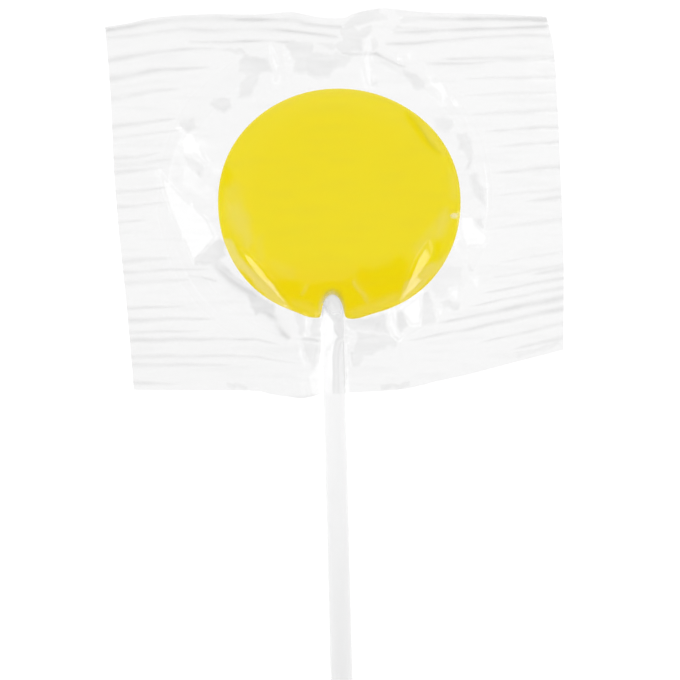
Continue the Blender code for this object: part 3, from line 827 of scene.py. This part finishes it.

# painted highlights: white haze laid on the film where it should look lit: how much, width of the edge,
# corners
paintedSheens = {
    "leftBand": (0.055, 1.4, [(-18.2, -0.2), (-16.4, -0.4), (-15, -3.6), (-14.4, -6.5), (-15.2, -7.4),
        (-16.7, -5)]),
    "leftBandTop": (0.025, 1.6, [(-18.5, 2.2), (-16.7, 2.6), (-15.9, -0.2), (-17, -3.1), (-18.2, -1.4)]),
    "rightBand": (0.05, 1, [(17.7, -1.1), (18.2, -2.4), (16.9, -5.4), (15.5, -6), (16, -3.1)]),
    "rightBandLow": (0.035, 1, [(16, -3.1), (15.7, -5.7), (14.5, -6.4), (13.1, -8.7), (12.2, -7.7),
        (14.1, -5.4)]),
    "leftStreak": (0.02, 0.7, [(-13.4, -6), (-12.7, -5.7), (-12.2, -9.7), (-13.2, -9.7)]),
    "lowStreak": (0.016, 0.8, [(-11.7, -10), (-10.4, -9.7), (-7.1, -11.3), (-7.4, -12.6), (-9.8, -12)]),
    "lowerLeftRim": (0.13, 0.4, [(-19.2, -6.4), (-18.5, -7.7), (-17.9, -8.8), (-17, -10), (-16, -11.2),
        (-14.9, -12.5), (-13.6, -14), (-12.4, -15), (-11.1, -15.9), (-9.6, -16.7), (-8.1, -17.4),
        (-7.9, -16.9), (-9.1, -15.8), (-10.1, -14.5), (-11.1, -13.5), (-12.1, -12.6), (-13.1, -12.1),
        (-14.1, -11.3), (-15, -10.3), (-15.6, -9.3), (-16.4, -8.5), (-17.4, -7.4), (-18.2, -6.4)]),
    "lowerRightRim": (0.1, 0.4, [(11, -13.1), (11.7, -12.6), (12.7, -12.3), (13.7, -12.5), (14.7, -12.3),
        (14.1, -13.1), (13.4, -13.8), (12.6, -14.5), (11.7, -15.4), (10.7, -16.1), (10.1, -16.4),
        (10.4, -15.3), (10.7, -14)]),
    "rightRimInner": (0.08, 0.6, [(12.2, -12.3), (13.4, -11.2), (14.4, -10.5), (15.2, -10), (16.4, -9.8),
        (17.2, -9), (18.2, -8.2), (18.8, -7.2), (18.7, -8.8), (17.7, -10), (16.7, -11), (15.7, -11.8),
        (14.7, -12.5), (13.4, -12.5)]),
    "upperRight": (0.03, 0.8, [(13.4, 12.8), (14.7, 12.5), (16.7, 9.5), (17.5, 7.9), (16.4, 8.8),
        (15, 10.5)]),
    "rightEdge": (0.025, 0.8, [(18.2, 5.2), (19, 5.2), (19.3, 2.9), (19.5, 0.6), (18.7, 0.6), (18.3, 2.9)]),
    "topRim": (0.016, 1.2, [(-12.7, 14.1), (-7.8, 17.4), (-3.1, 18.4), (1, 18.8), (5.5, 18.1), (10.1, 16.1),
        (5.5, 17.4), (1, 17.9), (-3.1, 17.6), (-7.1, 16.4)]),
    "notchHaze": (0.22, 0.8, [(-2.8, -17.8), (-2.8, -16.6), (-2.3, -15.8), (-1.7, -15.3), (-1.2, -15.1),
        (-0.5, -15.6), (0.2, -16.4), (0.5, -17.3), (0.7, -18.3), (0.3, -18.8), (-0.7, -18.6),
        (-1.8, -17.9)]),
    "lowRimRight": (0.035, 1, [(1.8, -18.1), (3.5, -17.3), (5.5, -16.6), (7.4, -15.8), (9.4, -15),
        (10.7, -15.3), (9.6, -16.6), (7.4, -17.4), (5.1, -18.1), (3, -18.8)]),
    "lowRimLeft": (0.025, 0.8, [(-7.4, -16), (-5.8, -16.4), (-4, -17.1), (-3.3, -17.4), (-3.5, -18.6),
        (-5.1, -18.3), (-6.9, -17.1)]),
    "notchStreak": (0.03, 0.3, [(-6.1, -15), (-5.5, -13.8), (-5, -13.5), (-5.3, -14.5), (-6, -15.3)]),
    "notchGlint": (0.05, 0.3, [(2.1, -13), (2.6, -12.8), (4, -14.6), (5.3, -16.6), (4.8, -16.6),
        (3.3, -14.8)]),
    "rightRimDot": (0.35, 0.25, [(18.5, -1.9), (19, -1.6), (19.5, -1.9), (19.2, -2.6), (18.7, -2.4)]),
}

# painted reflection: the film's mirror colour is darkened here, as if it mirrored the dark side of the room:
# width of the edge, corners
darkMirrorPatches = {
    "lowLeft": (0.7, [(-10.4, -13.1), (-9.3, -12.8), (-8.1, -12.8), (-7.1, -13), (-6.1, -13.3),
        (-6.3, -14.6), (-5.8, -14.8), (-5, -13.3), (-4.1, -13.3), (-3.1, -13.1), (-2.5, -14.5), (-3.1, -16),
        (-3.1, -17.8), (-4.5, -17.6), (-6.1, -16.8), (-7.8, -16), (-8.9, -15.1), (-9.9, -14.1)]),
    "lowRight": (0.8, [(-0.3, -14.3), (1, -13), (2.1, -12.1), (2.5, -13.3), (3.5, -14.5), (4.5, -15.5),
        (5.1, -16.1), (5.5, -15.8), (4.3, -14.5), (3.1, -13), (2.8, -11.7), (3.5, -10.8), (4.6, -10.7),
        (6.3, -10.8), (7.8, -10.3), (8.6, -9.2), (9.8, -8.8), (10.7, -9.3), (11.2, -10.3), (11.2, -11.8),
        (10.7, -13.1), (10.2, -14.6), (9.4, -15.3), (7.6, -15.8), (5.5, -16.4), (3.5, -17.3), (1.3, -17.9),
        (0.5, -16)]),
    "lowJoin": (0.5, [(-3.5, -14), (-2.5, -13.1), (-1.2, -12.8), (0.2, -13), (1.5, -12.5), (0.8, -15),
        (-3.1, -15.3)]),
    "ringLow": (1, [(16.7, -9.7), (17.9, -8.7), (18.7, -8), (19.7, -9.7), (21, -10.7), (20.7, -12.6),
        (18.3, -13.3), (16.7, -12)]),
    "rightPit": (0.4, [(16, -6.4), (16.9, -6.9), (16.7, -7.7), (16.2, -8.7), (15.7, -9.8), (15.2, -9.5),
        (15.4, -8.3), (15.7, -7.2)]),
    "upperRight": (0.5, [(10.7, 15.1), (11.9, 14.3), (13.1, 13), (14.1, 11.2), (15.2, 9.7), (16.7, 8.3),
        (16.4, 7.7), (14.7, 8.7), (13.4, 10), (12.2, 11.8), (10.9, 13.8)]),
    "left": (0.7, [(-19.3, 6.4), (-18, 5.9), (-17.5, 4.2), (-18, 2.6), (-19, 1.4), (-19.3, -0.2),
        (-20.2, 0.1), (-20.2, 3.1)]),
    "tentFoot": (3, [(-4.4, -31.9), (-5, -28.8), (-4.3, -27), (-3.4, -26.4), (-2.8, -31.9)]),
}

# height, then points along it with how dark its painted shade is there and its half width
longFolds = {
    "topEdge": (0.2, [(-38.8, 28.7, 1.3, 0.3), (-34.5, 29.3, 1.1, 0.3), (-31.2, 29.9, 0.6, 0.36),
        (-26.3, 30.6, 0.42, 0.53), (-20.5, 30.7, 0.5, 0.6), (-17.7, 30.5, 0.7, 0.33),
        (-15.9, 30.4, 1.15, 0.25), (-12.2, 30.4, 1.15, 0.25), (-9.4, 30.4, 0.8, 0.3),
        (-7.1, 30.4, 0.55, 0.5), (-5.8, 29.8, 0.6, 0.36), (-4, 29.5, 0.8, 0.25), (-1.5, 29.3, 0.95, 0.25),
        (0.7, 29.1, 0.7, 0.25)]),
    "topSecond": (0.15, [(-38.7, 27.4, 0.4, 0.3), (-33.7, 27.8, 0.35, 0.33), (-30.1, 28.4, 0.4, 0.33),
        (-26, 28.9, 0.45, 0.36), (-22.2, 28.6, 0.6, 0.36), (-20.2, 28.6, 0.45, 0.36),
        (-16.4, 28.8, 0.36, 0.4), (-12.7, 28.8, 0.4, 0.43), (-10.6, 28.7, 0.55, 0.33),
        (-8.1, 28.5, 0.95, 0.2), (-4.8, 28.1, 0.8, 0.2), (-2.3, 27.8, 0.7, 0.25), (0, 27.5, 0.5, 0.25)]),
    "topThread": (0.08, [(-25, 26.7, 0.2, 0.17), (-22.2, 26.7, 0.7, 0.18), (-18, 26.7, 0.5, 0.21),
        (-15.5, 26.8, 0.95, 0.17), (-12.7, 26.9, 0.95, 0.15), (-11.4, 26.9, 0.5, 0.15),
        (-9.3, 26.7, 0.95, 0.18), (-7.9, 26.7, 0.6, 0.17)]),
    "rightFirst": (0.25, [(10.1, 30.8, 0.2, 0.5), (13.4, 30.7, 0.35, 0.36), (16.7, 30.6, 0.7, 0.28),
        (19.2, 30.5, 1.1, 0.25), (26.6, 30.5, 1.35, 0.28), (31.6, 30.5, 1.5, 0.3), (34.5, 30.3, 1.6, 0.3)]),
    "rightSecond": (0.2, [(8.8, 28.3, 0.3, 0.33), (10.9, 28.3, 0.7, 0.25), (13.4, 28.4, 0.6, 0.25),
        (16.7, 28.6, 0.5, 0.25), (21.7, 28.8, 0.9, 0.25), (28.3, 29, 1, 0.23), (34.7, 29.3, 1.1, 0.25)]),
    "rightThird": (0.15, [(7.6, 26.4, 0.3, 0.2), (10.1, 26.4, 0.75, 0.23), (12.6, 26.5, 0.75, 0.23),
        (16.7, 26.9, 0.6, 0.25), (22.5, 27.4, 0.5, 0.23), (29.9, 27.8, 0.5, 0.26),
        (35.2, 27.7, 0.6, 0.26)]),
    "rightFourth": (0.1, [(14.2, 23.1, 0.2, 0.21), (16.2, 23.1, 0.55, 0.25), (21.7, 23.1, 0.5, 0.2),
        (27.4, 23.7, 0.25, 0.17), (34.9, 24, 0.35, 0.17)]),
    "candyTop": (0.1, [(0.2, 24.9, 0.6, 0.15), (1.8, 24.7, 0.95, 0.15), (3.8, 24.7, 0.5, 0.13),
        (5.5, 24.7, 0.8, 0.15), (6.1, 24.8, 1.2, 0.2), (7.4, 24.1, 1, 0.17), (9.8, 22.9, 1, 0.17),
        (11.1, 22.5, 0.5, 0.17)]),
    "candyLeft": (0.02, [(-21.3, -9.6, 0.3, 0.3), (-19.6, -11.2, 0.7, 0.4), (-18.2, -12.4, 0.95, 0.45),
        (-17.2, -13.2, 1.05, 0.5), (-15.9, -14, 1.05, 0.5), (-14.4, -14.9, 1.05, 0.5),
        (-13.4, -15.6, 0.8, 0.5)]),
    "candyLeftLow": (0.02, [(-13.6, -17.9, 0.6, 0.3), (-12.2, -17.9, 0.8, 0.4), (-11.4, -18.3, 0.85, 0.5),
        (-10.6, -19.2, 0.7, 0.5), (-9.9, -20.4, 0.72, 0.5), (-9.2, -21.5, 0.75, 0.45),
        (-8.6, -22.1, 0.85, 0.35), (-7.9, -22.3, 0.6, 0.2)]),
    "stickLeft": (0.12, [(-6.3, -22.3, 0.7, 0.2), (-5.3, -22.4, 1, 0.23), (-4.3, -22.5, 0.85, 0.25),
        (-3.1, -22.8, 0.75, 0.28)]),
    "underLine": (0.06, [(-25.1, -12, 0.3, 0.2), (-23, -12.1, 0.4, 0.2), (-22, -12.4, 0.75, 0.15),
        (-21.2, -12.6, 0.6, 0.15), (-20, -12.9, 0.25, 0.17)]),
    "candyRight": (0.08, [(11.4, 14.6, 0.3, 0.25), (12.7, 13.1, 0.45, 0.26), (14.1, 11.2, 0.5, 0.28),
        (15, 9.5, 0.6, 0.3), (16.2, 8.4, 0.45, 0.23), (17.2, 7.9, 0.2, 0.15)]),
    # painted shadow only, no relief, along the notch's arch
    "notchEdge": (0, [(-2.9, -17.4, 0.4, 0.2), (-2.7, -16.4, 0.9, 0.3), (-2.3, -15.6, 1.2, 0.35),
        (-1.8, -15.1, 1.4, 0.4), (-1.2, -15, 1.4, 0.4), (-0.5, -15.2, 1.4, 0.4), (0, -15.9, 1.4, 0.4),
        (0.5, -16.9, 1.1, 0.35), (0.9, -18.1, 0.4, 0.2)]),
    "stickFold": (0.02, [(-0.2, -22.1, 0.4, 0.2), (-1.5, -23.4, 0.6, 0.25), (-2, -24.5, 0.65, 0.25),
        (-2.3, -25.7, 0.4, 0.2)]),
    "bottomHem": (0, [(-8.2, -31.9, 0.3, 0.15), (-6, -32.1, 0.5, 0.2), (-4.5, -31.8, 0.5, 0.2),
        (-3.1, -31.4, 0.3, 0.15)]),
    "bumpEdge": (0.08, [(2.1, 29.5, 0.3, 0.17), (3.1, 29.9, 0.5, 0.2), (4.1, 30, 0.3, 0.17),
        (6.4, 30.5, 0.2, 0.17)]),
}

ribs = {
    "width": 0.4,
    "height": 0.1,
    # how dark the painted shade along a rib is
    "dark": 0.64,
    "wander": 0.05,
    "wanderWaves": (40, 70),
    "widths": (0.7, 1.3),
    # width at the inner tip and what it gains out to the side edge
    "tip": 0.4,
    "growth": 0.8,
    "endFade": 3,
    "endShare": 0.6,
    "seed": 11,
    # height at the side edge, length, strength
    "left": [
        (23.7, 17.7, 0.9), (20.7, 16.2, 0.9), (17.5, 11.2, 0.6), (12.7, 10.7, 0.7), (10.8, 11.9, 0.5),
        (7.4, 7.4, 0.6), (6.2, 9.9, 0.5), (5.1, 7.9, 0.6), (1.8, 9.1, 0.65), (-0.6, 8.3, 0.7),
        (-3.1, 4.6, 0.6), (-4.9, 3.3, 0.3), (-9.5, 8.3, 0.7), (-11.4, 14.1, 0.7), (-13.1, 11.6, 0.4),
        (-17.3, 10.2, 0.85), (-19.3, 14.1, 0.85), (-21.3, 11.6, 0.7), (-22.6, 24.8, 0.9),
        (-25.3, 27.8, 0.6), (-26.7, 16.5, 0.6), (-29.7, 7.4, 0.7),
    ],
    "right": [
        (23.9, 18.2, 0.8), (20.8, 14.9, 0.6), (18.3, 14.9, 0.4), (15.3, 14.9, 0.5), (12.6, 11.6, 0.8),
        (10.1, 10.2, 0.7), (6.0, 10.7, 0.8), (2.4, 10.7, 0.4), (1.0, 5.8, 0.7), (-2.6, 11.6, 0.4),
        (-8.0, 10.7, 0.4), (-10.2, 12.4, 0.5), (-10.8, 5.3, 0.8), (-12.3, 13.2, 0.8), (-13.9, 15.2, 0.8),
        (-15.5, 20.7, 1.0), (-17.3, 25.6, 0.95), (-19.8, 13.6, 0.7), (-22.1, 8.3, 0.7),
    ],
}

creaseForm = {"count": 5, "lengths": (0.7, 1.5), "wave": 0.35, "waveLength": 4.3, "heights": (0.4, 1)}
# size, height, seed
creaseSets = {"seal": (9, 0.07, 4), "front": (4.5, 0.11, 6), "back": (5, 0.1, 8)}

# size, seed, stretch across, amount
filmNoises = {
    "patches": (1.2, 15, 0.35, 0.5),
    "shadeWarpAcross": (1.3, 4, 1.0, 0.5),
    "shadeWarpUp": (1.3, 6, 1.0, 0.5),
    "shadeGrain": (0.9, 5, 0.14, 0.14),
    "sheenWarp": (2.2, 12, 1.0, 0.4),
    "darkMirrorWarp": (1.6, 17, 1.0, 0.4),
}

foldForm = {
    "reach": 1.2,  # of the raised part, in half widths
    "endFade": 0.6,
    "endShare": 0.3,
    # painted shade: a dark line with a wider and fainter one round it
    "core": 0.75,
    "spread": 2.5,
}

patchForm = {
    "shadedPatchEdge": 0.6,
    "tautEdge": 0.5,
    # length of the fade at an outline, in edge widths
    "sheenFade": 1.6,
    "darkMirrorFade": 2,
    "footDarkMirror": 0.6,
    "facetCore": 0.1,
    "facetClear": 0.05,
    # how dark the painted shade on folds and patches is on average
    "darkness": 0.9,  # of folds and gathers on average
    # the film's tint darkens towards the lower left
    "lowerLeftTint": 0.05,
    "lowerLeftTintWest": (15, -20),
    "lowerLeftTintSouth": (-17, -25),
    # share of the candy's radius where its face stops touching the film, and over how much
    "contactFade": (0.92, 0.08),
}


def filmNoise(x, y, name):
    size, seed, stretch, amount = filmNoises[name]
    return softNoise(np.stack([x * stretch, y, np.zeros_like(x)], axis=-1), size, seed) * amount


def sheetGrid():
    u, v = np.meshgrid(np.linspace(0, 1, sheet["columns"]), np.linspace(0, 1, sheet["rows"]))
    ends = {name: (sheet[name][0], sheet[name][-1]) for name in ("top", "bottom", "left", "right")}
    bottomX = mixed(ends["bottom"][0][0], ends["bottom"][1][0], u)
    topX = mixed(ends["top"][0][0], ends["top"][1][0], u)
    leftY = mixed(ends["left"][0][0], ends["left"][1][0], v)
    rightY = mixed(ends["right"][0][0], ends["right"][1][0], v)
    bottom = np.stack([bottomX, alongLine(sheet["bottom"], bottomX)])
    top = np.stack([topX, alongLine(sheet["top"], topX)])
    left = np.stack([alongLine(sheet["left"], leftY), leftY])
    right = np.stack([alongLine(sheet["right"], rightY), rightY])
    corner = [np.array(p).reshape(2, 1, 1) for p in (*ends["bottom"], *ends["top"])]
    low = mixed(corner[0], corner[1], u)
    high = mixed(corner[2], corner[3], u)
    x, y = mixed(bottom, top, v) + mixed(left, right, u) - mixed(low, high, v)
    return u, v, x, y


def insideShape(x, y, corners):
    # distance to the outline, positive inside it
    nearest = np.full(x.shape, np.inf)
    inside = np.zeros(x.shape, bool)
    for (ax, ay), (bx, by) in zip(corners, corners[1:] + corners[:1]):
        nearest = np.minimum(nearest, lineDistance(x, y, [(ax, ay), (bx, by)])[0])
        if ay != by:
            crossing = ((ay > y) != (by > y)) & (x < (bx - ax) * (y - ay) / (by - ay) + ax)
            inside ^= crossing
    return np.where(inside, nearest, -nearest)


def lineDistance(x, y, points):
    # distance to a bent line, how far along it the nearest point is, and how far along its points are
    nearest = np.full(x.shape, np.inf)
    along = np.zeros(x.shape)
    stops = [0.0]
    for (ax, ay, *_), (bx, by, *_) in zip(points, points[1:]):
        step = math.hypot(bx - ax, by - ay)
        t = np.clip(((x - ax) * (bx - ax) + (y - ay) * (by - ay)) / step**2, 0, 1)
        away = np.hypot(x - ax - t * (bx - ax), y - ay - t * (by - ay))
        closer = away < nearest
        nearest = np.where(closer, away, nearest)
        along = np.where(closer, stops[-1] + t * step, along)
        stops.append(stops[-1] + step)
    return nearest, along, stops


def creases(x, y, name):
    size, height, seed = creaseSets[name]
    draw = np.random.default_rng(seed)
    total = np.zeros_like(x)
    for _ in range(creaseForm["count"]):
        turn = draw.uniform(0, math.pi)
        length = size * draw.uniform(*creaseForm["lengths"])
        along = (x * math.cos(turn) + y * math.sin(turn)) / length + draw.uniform(0, 1)
        across = (x * math.sin(turn) - y * math.cos(turn)) / (length * creaseForm["waveLength"])
        along = along + creaseForm["wave"] * np.sin(across * tau + draw.uniform(0, tau))
        total += np.abs((along % 1) - 0.5) * height * draw.uniform(*creaseForm["heights"])
    return total - total.mean()


# relief of the ribs, and the painted shade along them
def ribRelief(u, v, patchy):
    draw = np.random.default_rng(ribs["seed"])
    relief = np.zeros_like(u)
    shade = np.zeros_like(u)
    for side, way in (("left", u), ("right", 1 - u)):
        low, high = sheet[side][0][0], sheet[side][-1][0]
        along = way * sheet["across"]
        for height, length, strength in ribs[side]:
            place = (height - low) / (high - low)
            wave = np.sin(way * draw.uniform(*ribs["wanderWaves"]) + draw.uniform(0, tau))
            away = np.abs((v - place) * (high - low) + ribs["wander"] * wave)
            taper = np.clip(1 - along / length, 0, 1)
            half = ribs["width"] * draw.uniform(*ribs["widths"]) * (ribs["tip"] + ribs["growth"] * taper)
            ending = 1 - smoothStep((along - length) / ribs["endFade"] + ribs["endShare"])
            relief -= np.clip(1 - away / half, 0, 1) * ending * strength * ribs["height"]
            shade = np.maximum(shade, bell(away / half) * ending * strength * patchy * ribs["dark"])
    return relief, shade


def foldRelief(x, y, patchy):
    relief = np.zeros_like(x)
    shade = np.zeros_like(x)
    for rise, points in longFolds.values():
        away, along, stops = lineDistance(x, y, points)
        dark = np.interp(along, stops, [p[2] for p in points]) * patchy
        half = np.interp(along, stops, [p[3] for p in points])
        toEnd = np.minimum(along, stops[-1] - along)
        ends = smoothStep(toEnd / foldForm["endFade"] + foldForm["endShare"])
        relief += np.clip(foldForm["reach"] - away / half, 0, 1) * rise * ends
        wide = (1 - foldForm["core"]) * bell(away / half / foldForm["spread"])
        shade = np.maximum(shade, dark * (foldForm["core"] * bell(away / half) + wide) * ends)
    return relief, shade


def patchShade(x, y, patchy):
    # painted shade: patches where the film lets less light through
    shade = np.zeros_like(x)
    warpedX, warpedY = x + filmNoise(x, y, "shadeWarpAcross"), y + filmNoise(x, y, "shadeWarpUp")
    for dark, corners in shadedPatches.values():
        inside = insideShape(warpedX, warpedY, corners)
        shade = np.maximum(shade, dark * patchy * smoothStep(inside / patchForm["shadedPatchEdge"] + 0.5))
    return shade + np.maximum(filmNoise(x, y, "shadeGrain"), 0)


def paintedSheenShare(x, y):
    warp = filmNoise(x, y, "sheenWarp")
    paintedSheen = np.zeros_like(x)
    for amount, edge, corners in paintedSheens.values():
        inside = insideShape(x + warp, y + warp, corners)
        paintedSheen = np.maximum(paintedSheen, amount * smoothStep((inside / edge + 1) / patchForm["sheenFade"]))
    return paintedSheen


def tautShare(x, y):
    shares = []
    for *_, corners in tautFacets.values():
        shares.append(smoothStep(insideShape(x, y, corners) / patchForm["tautEdge"] + 1))
    return np.max(shares, axis=0)


def darkMirrorShare(x, y, foot):
    warp = filmNoise(x, y, "darkMirrorWarp")
    # painted reflection: the mirror is darkened at the pocket's foot and in the patches
    darkMirror = patchForm["footDarkMirror"] * foot
    for edge, corners in darkMirrorPatches.values():
        inside = insideShape(x + warp, y - warp, corners)
        darkMirror = np.maximum(darkMirror, smoothStep((inside / edge + 1) / patchForm["darkMirrorFade"]))
    return darkMirror


def footShare(past):
    # where the pocket's film comes down to the other sheet
    return bell((past + pocket["footInset"] - pocket["frontProfile"][-1][0]) / pocket["footWidth"])


def candyCover(x, y, share):
    half = notchShape["halfWidth"]
    arch = notchShape["depth"] * np.sqrt(np.clip(1 - (stickDistance(x, y) / half) ** 2, 0, 1))
    notch = y < arch - candyShape["tall"] / 2
    cover = shoulderHeight(share) + pocket["cling"]
    return np.where((share < pocket["rim"]) & ~notch, cover, pocket["uncovered"])


def stickCover(x, y):
    radius = stickShape["radius"] + pocket["cling"]
    away = np.abs(stickDistance(x, y))
    across, up = (share * radius for share in pocket["stickTurn"])
    cap = np.sqrt(np.clip(radius**2 - away**2, 0, None))
    side = up - (away - across) * pocket["stickSlope"]
    return np.where(y < -notchEnd, np.where(away < across, cap, side), pocket["uncovered"])


def facetSlopes(lamp, x, y):
    # how a facet here leans to mirror the lamp into the camera
    place = Vector((x, y, middle)) * mm
    normal = (cameraPlace() - place).normalized() + (lampPlace(lamp) - place).normalized()
    return -normal.x / normal.z, -normal.y / normal.z


def layFacets(x, y, film, contents):
    for name, (lamp, skirt, corners) in tautFacets.items():
        inside = insideShape(x, y, corners)
        core = inside > patchForm["facetCore"]
        slopeX, slopeY = facetSlopes(lamp, x[core].mean(), y[core].mean())
        plane = slopeX * x + slopeY * y
        if name in bentFacets:
            plane = -math.hypot(slopeX, slopeY) * np.hypot(x, y)
        lowest = (contents - plane)[core].max() + patchForm["facetClear"]
        height = max((film - plane)[core].mean(), lowest)
        film = mixed(film, plane + height, smoothStep(inside / skirt + 1))
    return film


def softened(values):
    padded = np.pad(values, 1, mode="edge")
    values = (padded[:-2, 1:-1] + 2 * values + padded[2:, 1:-1]) / 4
    padded = np.pad(values, 1, mode="edge")
    return (padded[1:-1, :-2] + 2 * values + padded[1:-1, 2:]) / 4


def candyPlace(x, y):
    # distance past the candy's edge, and share of its radius
    angle, radius = np.arctan2(y, x), np.hypot(x, y)
    edge, inner = candyRadius(angle), candyMesh["innerShare"]
    past = radius - edge
    outerShare = inner + (1 - inner) * (radius / edge - inner) / (1 - inner + lipHeight(angle) / edge)
    share = np.where(radius < inner * edge, radius / edge, outerShare)
    reach = 1 + pocket["leftReach"] * np.cos(angle - pocket["leftReachTurn"])
    return np.where(past > 0, past / reach, past), share


def sheetCurl(x, y, past):
    (across, acrossTurn), (up, upTurn) = sheet["curlAcross"], sheet["curlUp"]
    curl = sheet["curl"] * np.sin(x / across + acrossTurn) * np.cos(y / up + upTurn)
    return curl * fade(past, *sheet["curlFade"])


def filmMasks(x, y, past, share, paintedFilmShade, patchy):
    # painted shade on the film: along folds and ribs, in patches, and a darker tint towards the lower left
    paintedFilmShade = np.maximum(paintedFilmShade, patchShade(x, y, patchy))
    west, south = fade(x, *patchForm["lowerLeftTintWest"]), fade(y, *patchForm["lowerLeftTintSouth"])
    paintedFilmShade += (patchForm["lowerLeftTint"] * west + patchForm["lowerLeftTint"] * south) * fade(past, -0.5, 0.5)
    # the film is less glossy where it sticks to the candy's face and to the other sheet
    slack = 1 - tautShare(x, y)
    foot = footShare(past) * slack
    start, length = patchForm["contactFade"]
    contact = np.maximum((1 - smoothStep((share - start) / length)) * slack, foot)
    return {"paintedFilmShade": paintedFilmShade, "paintedSheen": paintedSheenShare(x, y), "contact": contact, "darkMirror": darkMirrorShare(x, y, foot)}


def filmHeights():
    u, v, x, y = sheetGrid()
    past, share = candyPlace(x, y)
    ring = fade(past, *pocket["ringStart"]) * (1 - fade(past, *pocket["ringEnd"]))
    patchy = patchForm["darkness"] + filmNoise(x, y, "patches")
    ribRise, ribShade = ribRelief(u, v, patchy)
    foldRise, foldShade = foldRelief(x, y, patchy)
    loose = fade(past, *sheet["looseFade"])
    seal = sheetCurl(x, y, past) + ribRise + foldRise + creases(x, y, "seal") * loose
    stick = stickCover(x, y)
    contents = np.maximum(candyCover(x, y, share), stick)
    lowest = np.maximum(contents, seal + sheet["apart"])
    front = np.interp(past, *zip(*pocket["frontProfile"])) + creases(x, y, "front") * ring
    front = roundedMax(front + foldRise, stick, pocket["stickBlend"])
    front = softened(layFacets(x, y, np.maximum(front, lowest), lowest))
    back = -np.interp(past, *zip(*pocket["backProfile"])) - creases(x, y, "back") * ring
    back = softened(np.minimum(back, np.minimum(-stick, seal)))
    front = np.maximum(front, contents - pocket["cling"] / 2)
    back = np.clip(back, -pocketHalf + pocket["offTable"], front - sheet["apart"])
    return x, y, front, back, filmMasks(x, y, past, share, np.maximum(ribShade, foldShade), patchy)


def makeFilm():
    x, y, front, back, looks = filmHeights()
    material = filmMaterial()
    for name, height, order in (("filmFront", front, 1), ("filmBack", back, -1)):
        points = np.stack([x, y, height + middle], axis=-1)[:, ::order]
        piece = meshFromGrid(name, points)
        for label, values in looks.items():
            share = values if label == "paintedFilmShade" or order == 1 else np.zeros_like(values)
            attribute = piece.data.attributes.new(label, "FLOAT", "POINT")
            attribute.data.foreach_set("value", share[:, ::order].astype(np.float32).ravel())
        finishPiece(piece, material, "wrapper")
        print(name, "made:", len(piece.data.polygons) * 2, "triangles")


filmLook = {
    "gloss": 0.075,
    "haze": 0.002,
    "hazeWithShade": 0.04,
    "hazeRough": 0.7,
    "tint": grey(0.983),
    "shadeTint": grey(0.87),
    "mirror": grey(0.98),
    "darkMirrorColour": grey(0.05),
    "mottleSize": 5,
    "roughLow": 0.06,
    "roughHigh": 0.20,
    "contactRough": 0.42,
    "steepness": 5.0,  # how late the mirror grows towards a glancing view
}


def filmMaterial():
    material, nodes, links, shader = newMaterial("clearFilm")
    # painted shade: the film lets less light through where the shade mask is set
    paintedShade = addMask(nodes, -1100, 0, "paintedFilmShade")
    clear = addNode(nodes, "ShaderNodeBsdfTransparent", -300, 250)
    tint = addColours(nodes, links, -600, 300, paintedShade, filmLook["tint"], filmLook["shadeTint"])
    links.new(tint, clear.inputs["Color"])
    haze = addNode(nodes, "ShaderNodeBsdfPrincipled", -400, 100)
    setInputs(haze, {
        "Base Color": grey(1), "Roughness": filmLook["hazeRough"], "Specular IOR Level": 0.0,
    })
    # painted highlights: more white haze where this mask is set
    paintedSheen = addMask(nodes, -1100, 200, "paintedSheen")
    hazeLow = addMath(nodes, links, "ADD", -800, 150, paintedSheen, filmLook["haze"])
    hazeShare = addMath(nodes, links, "MULTIPLY_ADD", -600, 100, paintedShade, filmLook["hazeWithShade"], hazeLow)
    hazed = addShaders(nodes, links, 0, 200, hazeShare, clear.outputs[0], haze.outputs[0])
    # painted reflection: a darker mirror colour where this mask is set
    darkMirror = addMask(nodes, -1100, -400, "darkMirror")
    mirror = addColours(nodes, links, -900, -400, darkMirror, filmLook["mirror"], filmLook["darkMirrorColour"])
    links.new(mirror, shader.inputs["Base Color"])
    shader.inputs["Metallic"].default_value = 1.0
    mottle = addMottle(nodes, -900, -300, filmLook["mottleSize"]).outputs["Value"]
    low, spread = filmLook["roughLow"], filmLook["roughHigh"] - filmLook["roughLow"]
    rough = addMath(nodes, links, "MULTIPLY_ADD", -700, -200, mottle, spread, low)
    contact = addMask(nodes, -1100, -200, "contact")
    rough = addMath(nodes, links, "MULTIPLY_ADD", -500, -200, contact, filmLook["contactRough"], rough)
    links.new(rough, shader.inputs["Roughness"])
    facing = addNode(nodes, "ShaderNodeLayerWeight", -900, -600)
    facing.inputs["Blend"].default_value = 0.5
    steep = addMath(nodes, links, "POWER", -700, -600, facing.outputs["Facing"], filmLook["steepness"])
    gloss = filmLook["gloss"]
    gloss = addMath(nodes, links, "MULTIPLY_ADD", -500, -600, steep, 1 - gloss, gloss)
    # what the film mirrors away comes back from the film round it,
    # so light on its way to the contents skips the mirror
    path = addNode(nodes, "ShaderNodeLightPath", -700, -800).outputs
    lit = addMath(nodes, links, "MAXIMUM", -500, -800, path["Is Shadow Ray"], path["Is Diffuse Ray"])
    seen = addMath(nodes, links, "SUBTRACT", -300, -800, 1.0, lit)
    gloss = addMath(nodes, links, "MULTIPLY", -100, -600, gloss, seen)
    both = addShaders(nodes, links, 250, 100, gloss, hazed, shader.outputs[0])
    links.new(both, nodes["Material Output"].inputs["Surface"])
    return material


makeCamera()
makeTable()
makeSky()
makePanels()
makeFill()
print("stage made")
makeCandy()
makeStick()
makeFilm()

view = bpy.context.scene.view_settings
view.view_transform = "Standard"
view.look = "None"
bpy.context.scene.cycles.transparent_max_bounces = 24
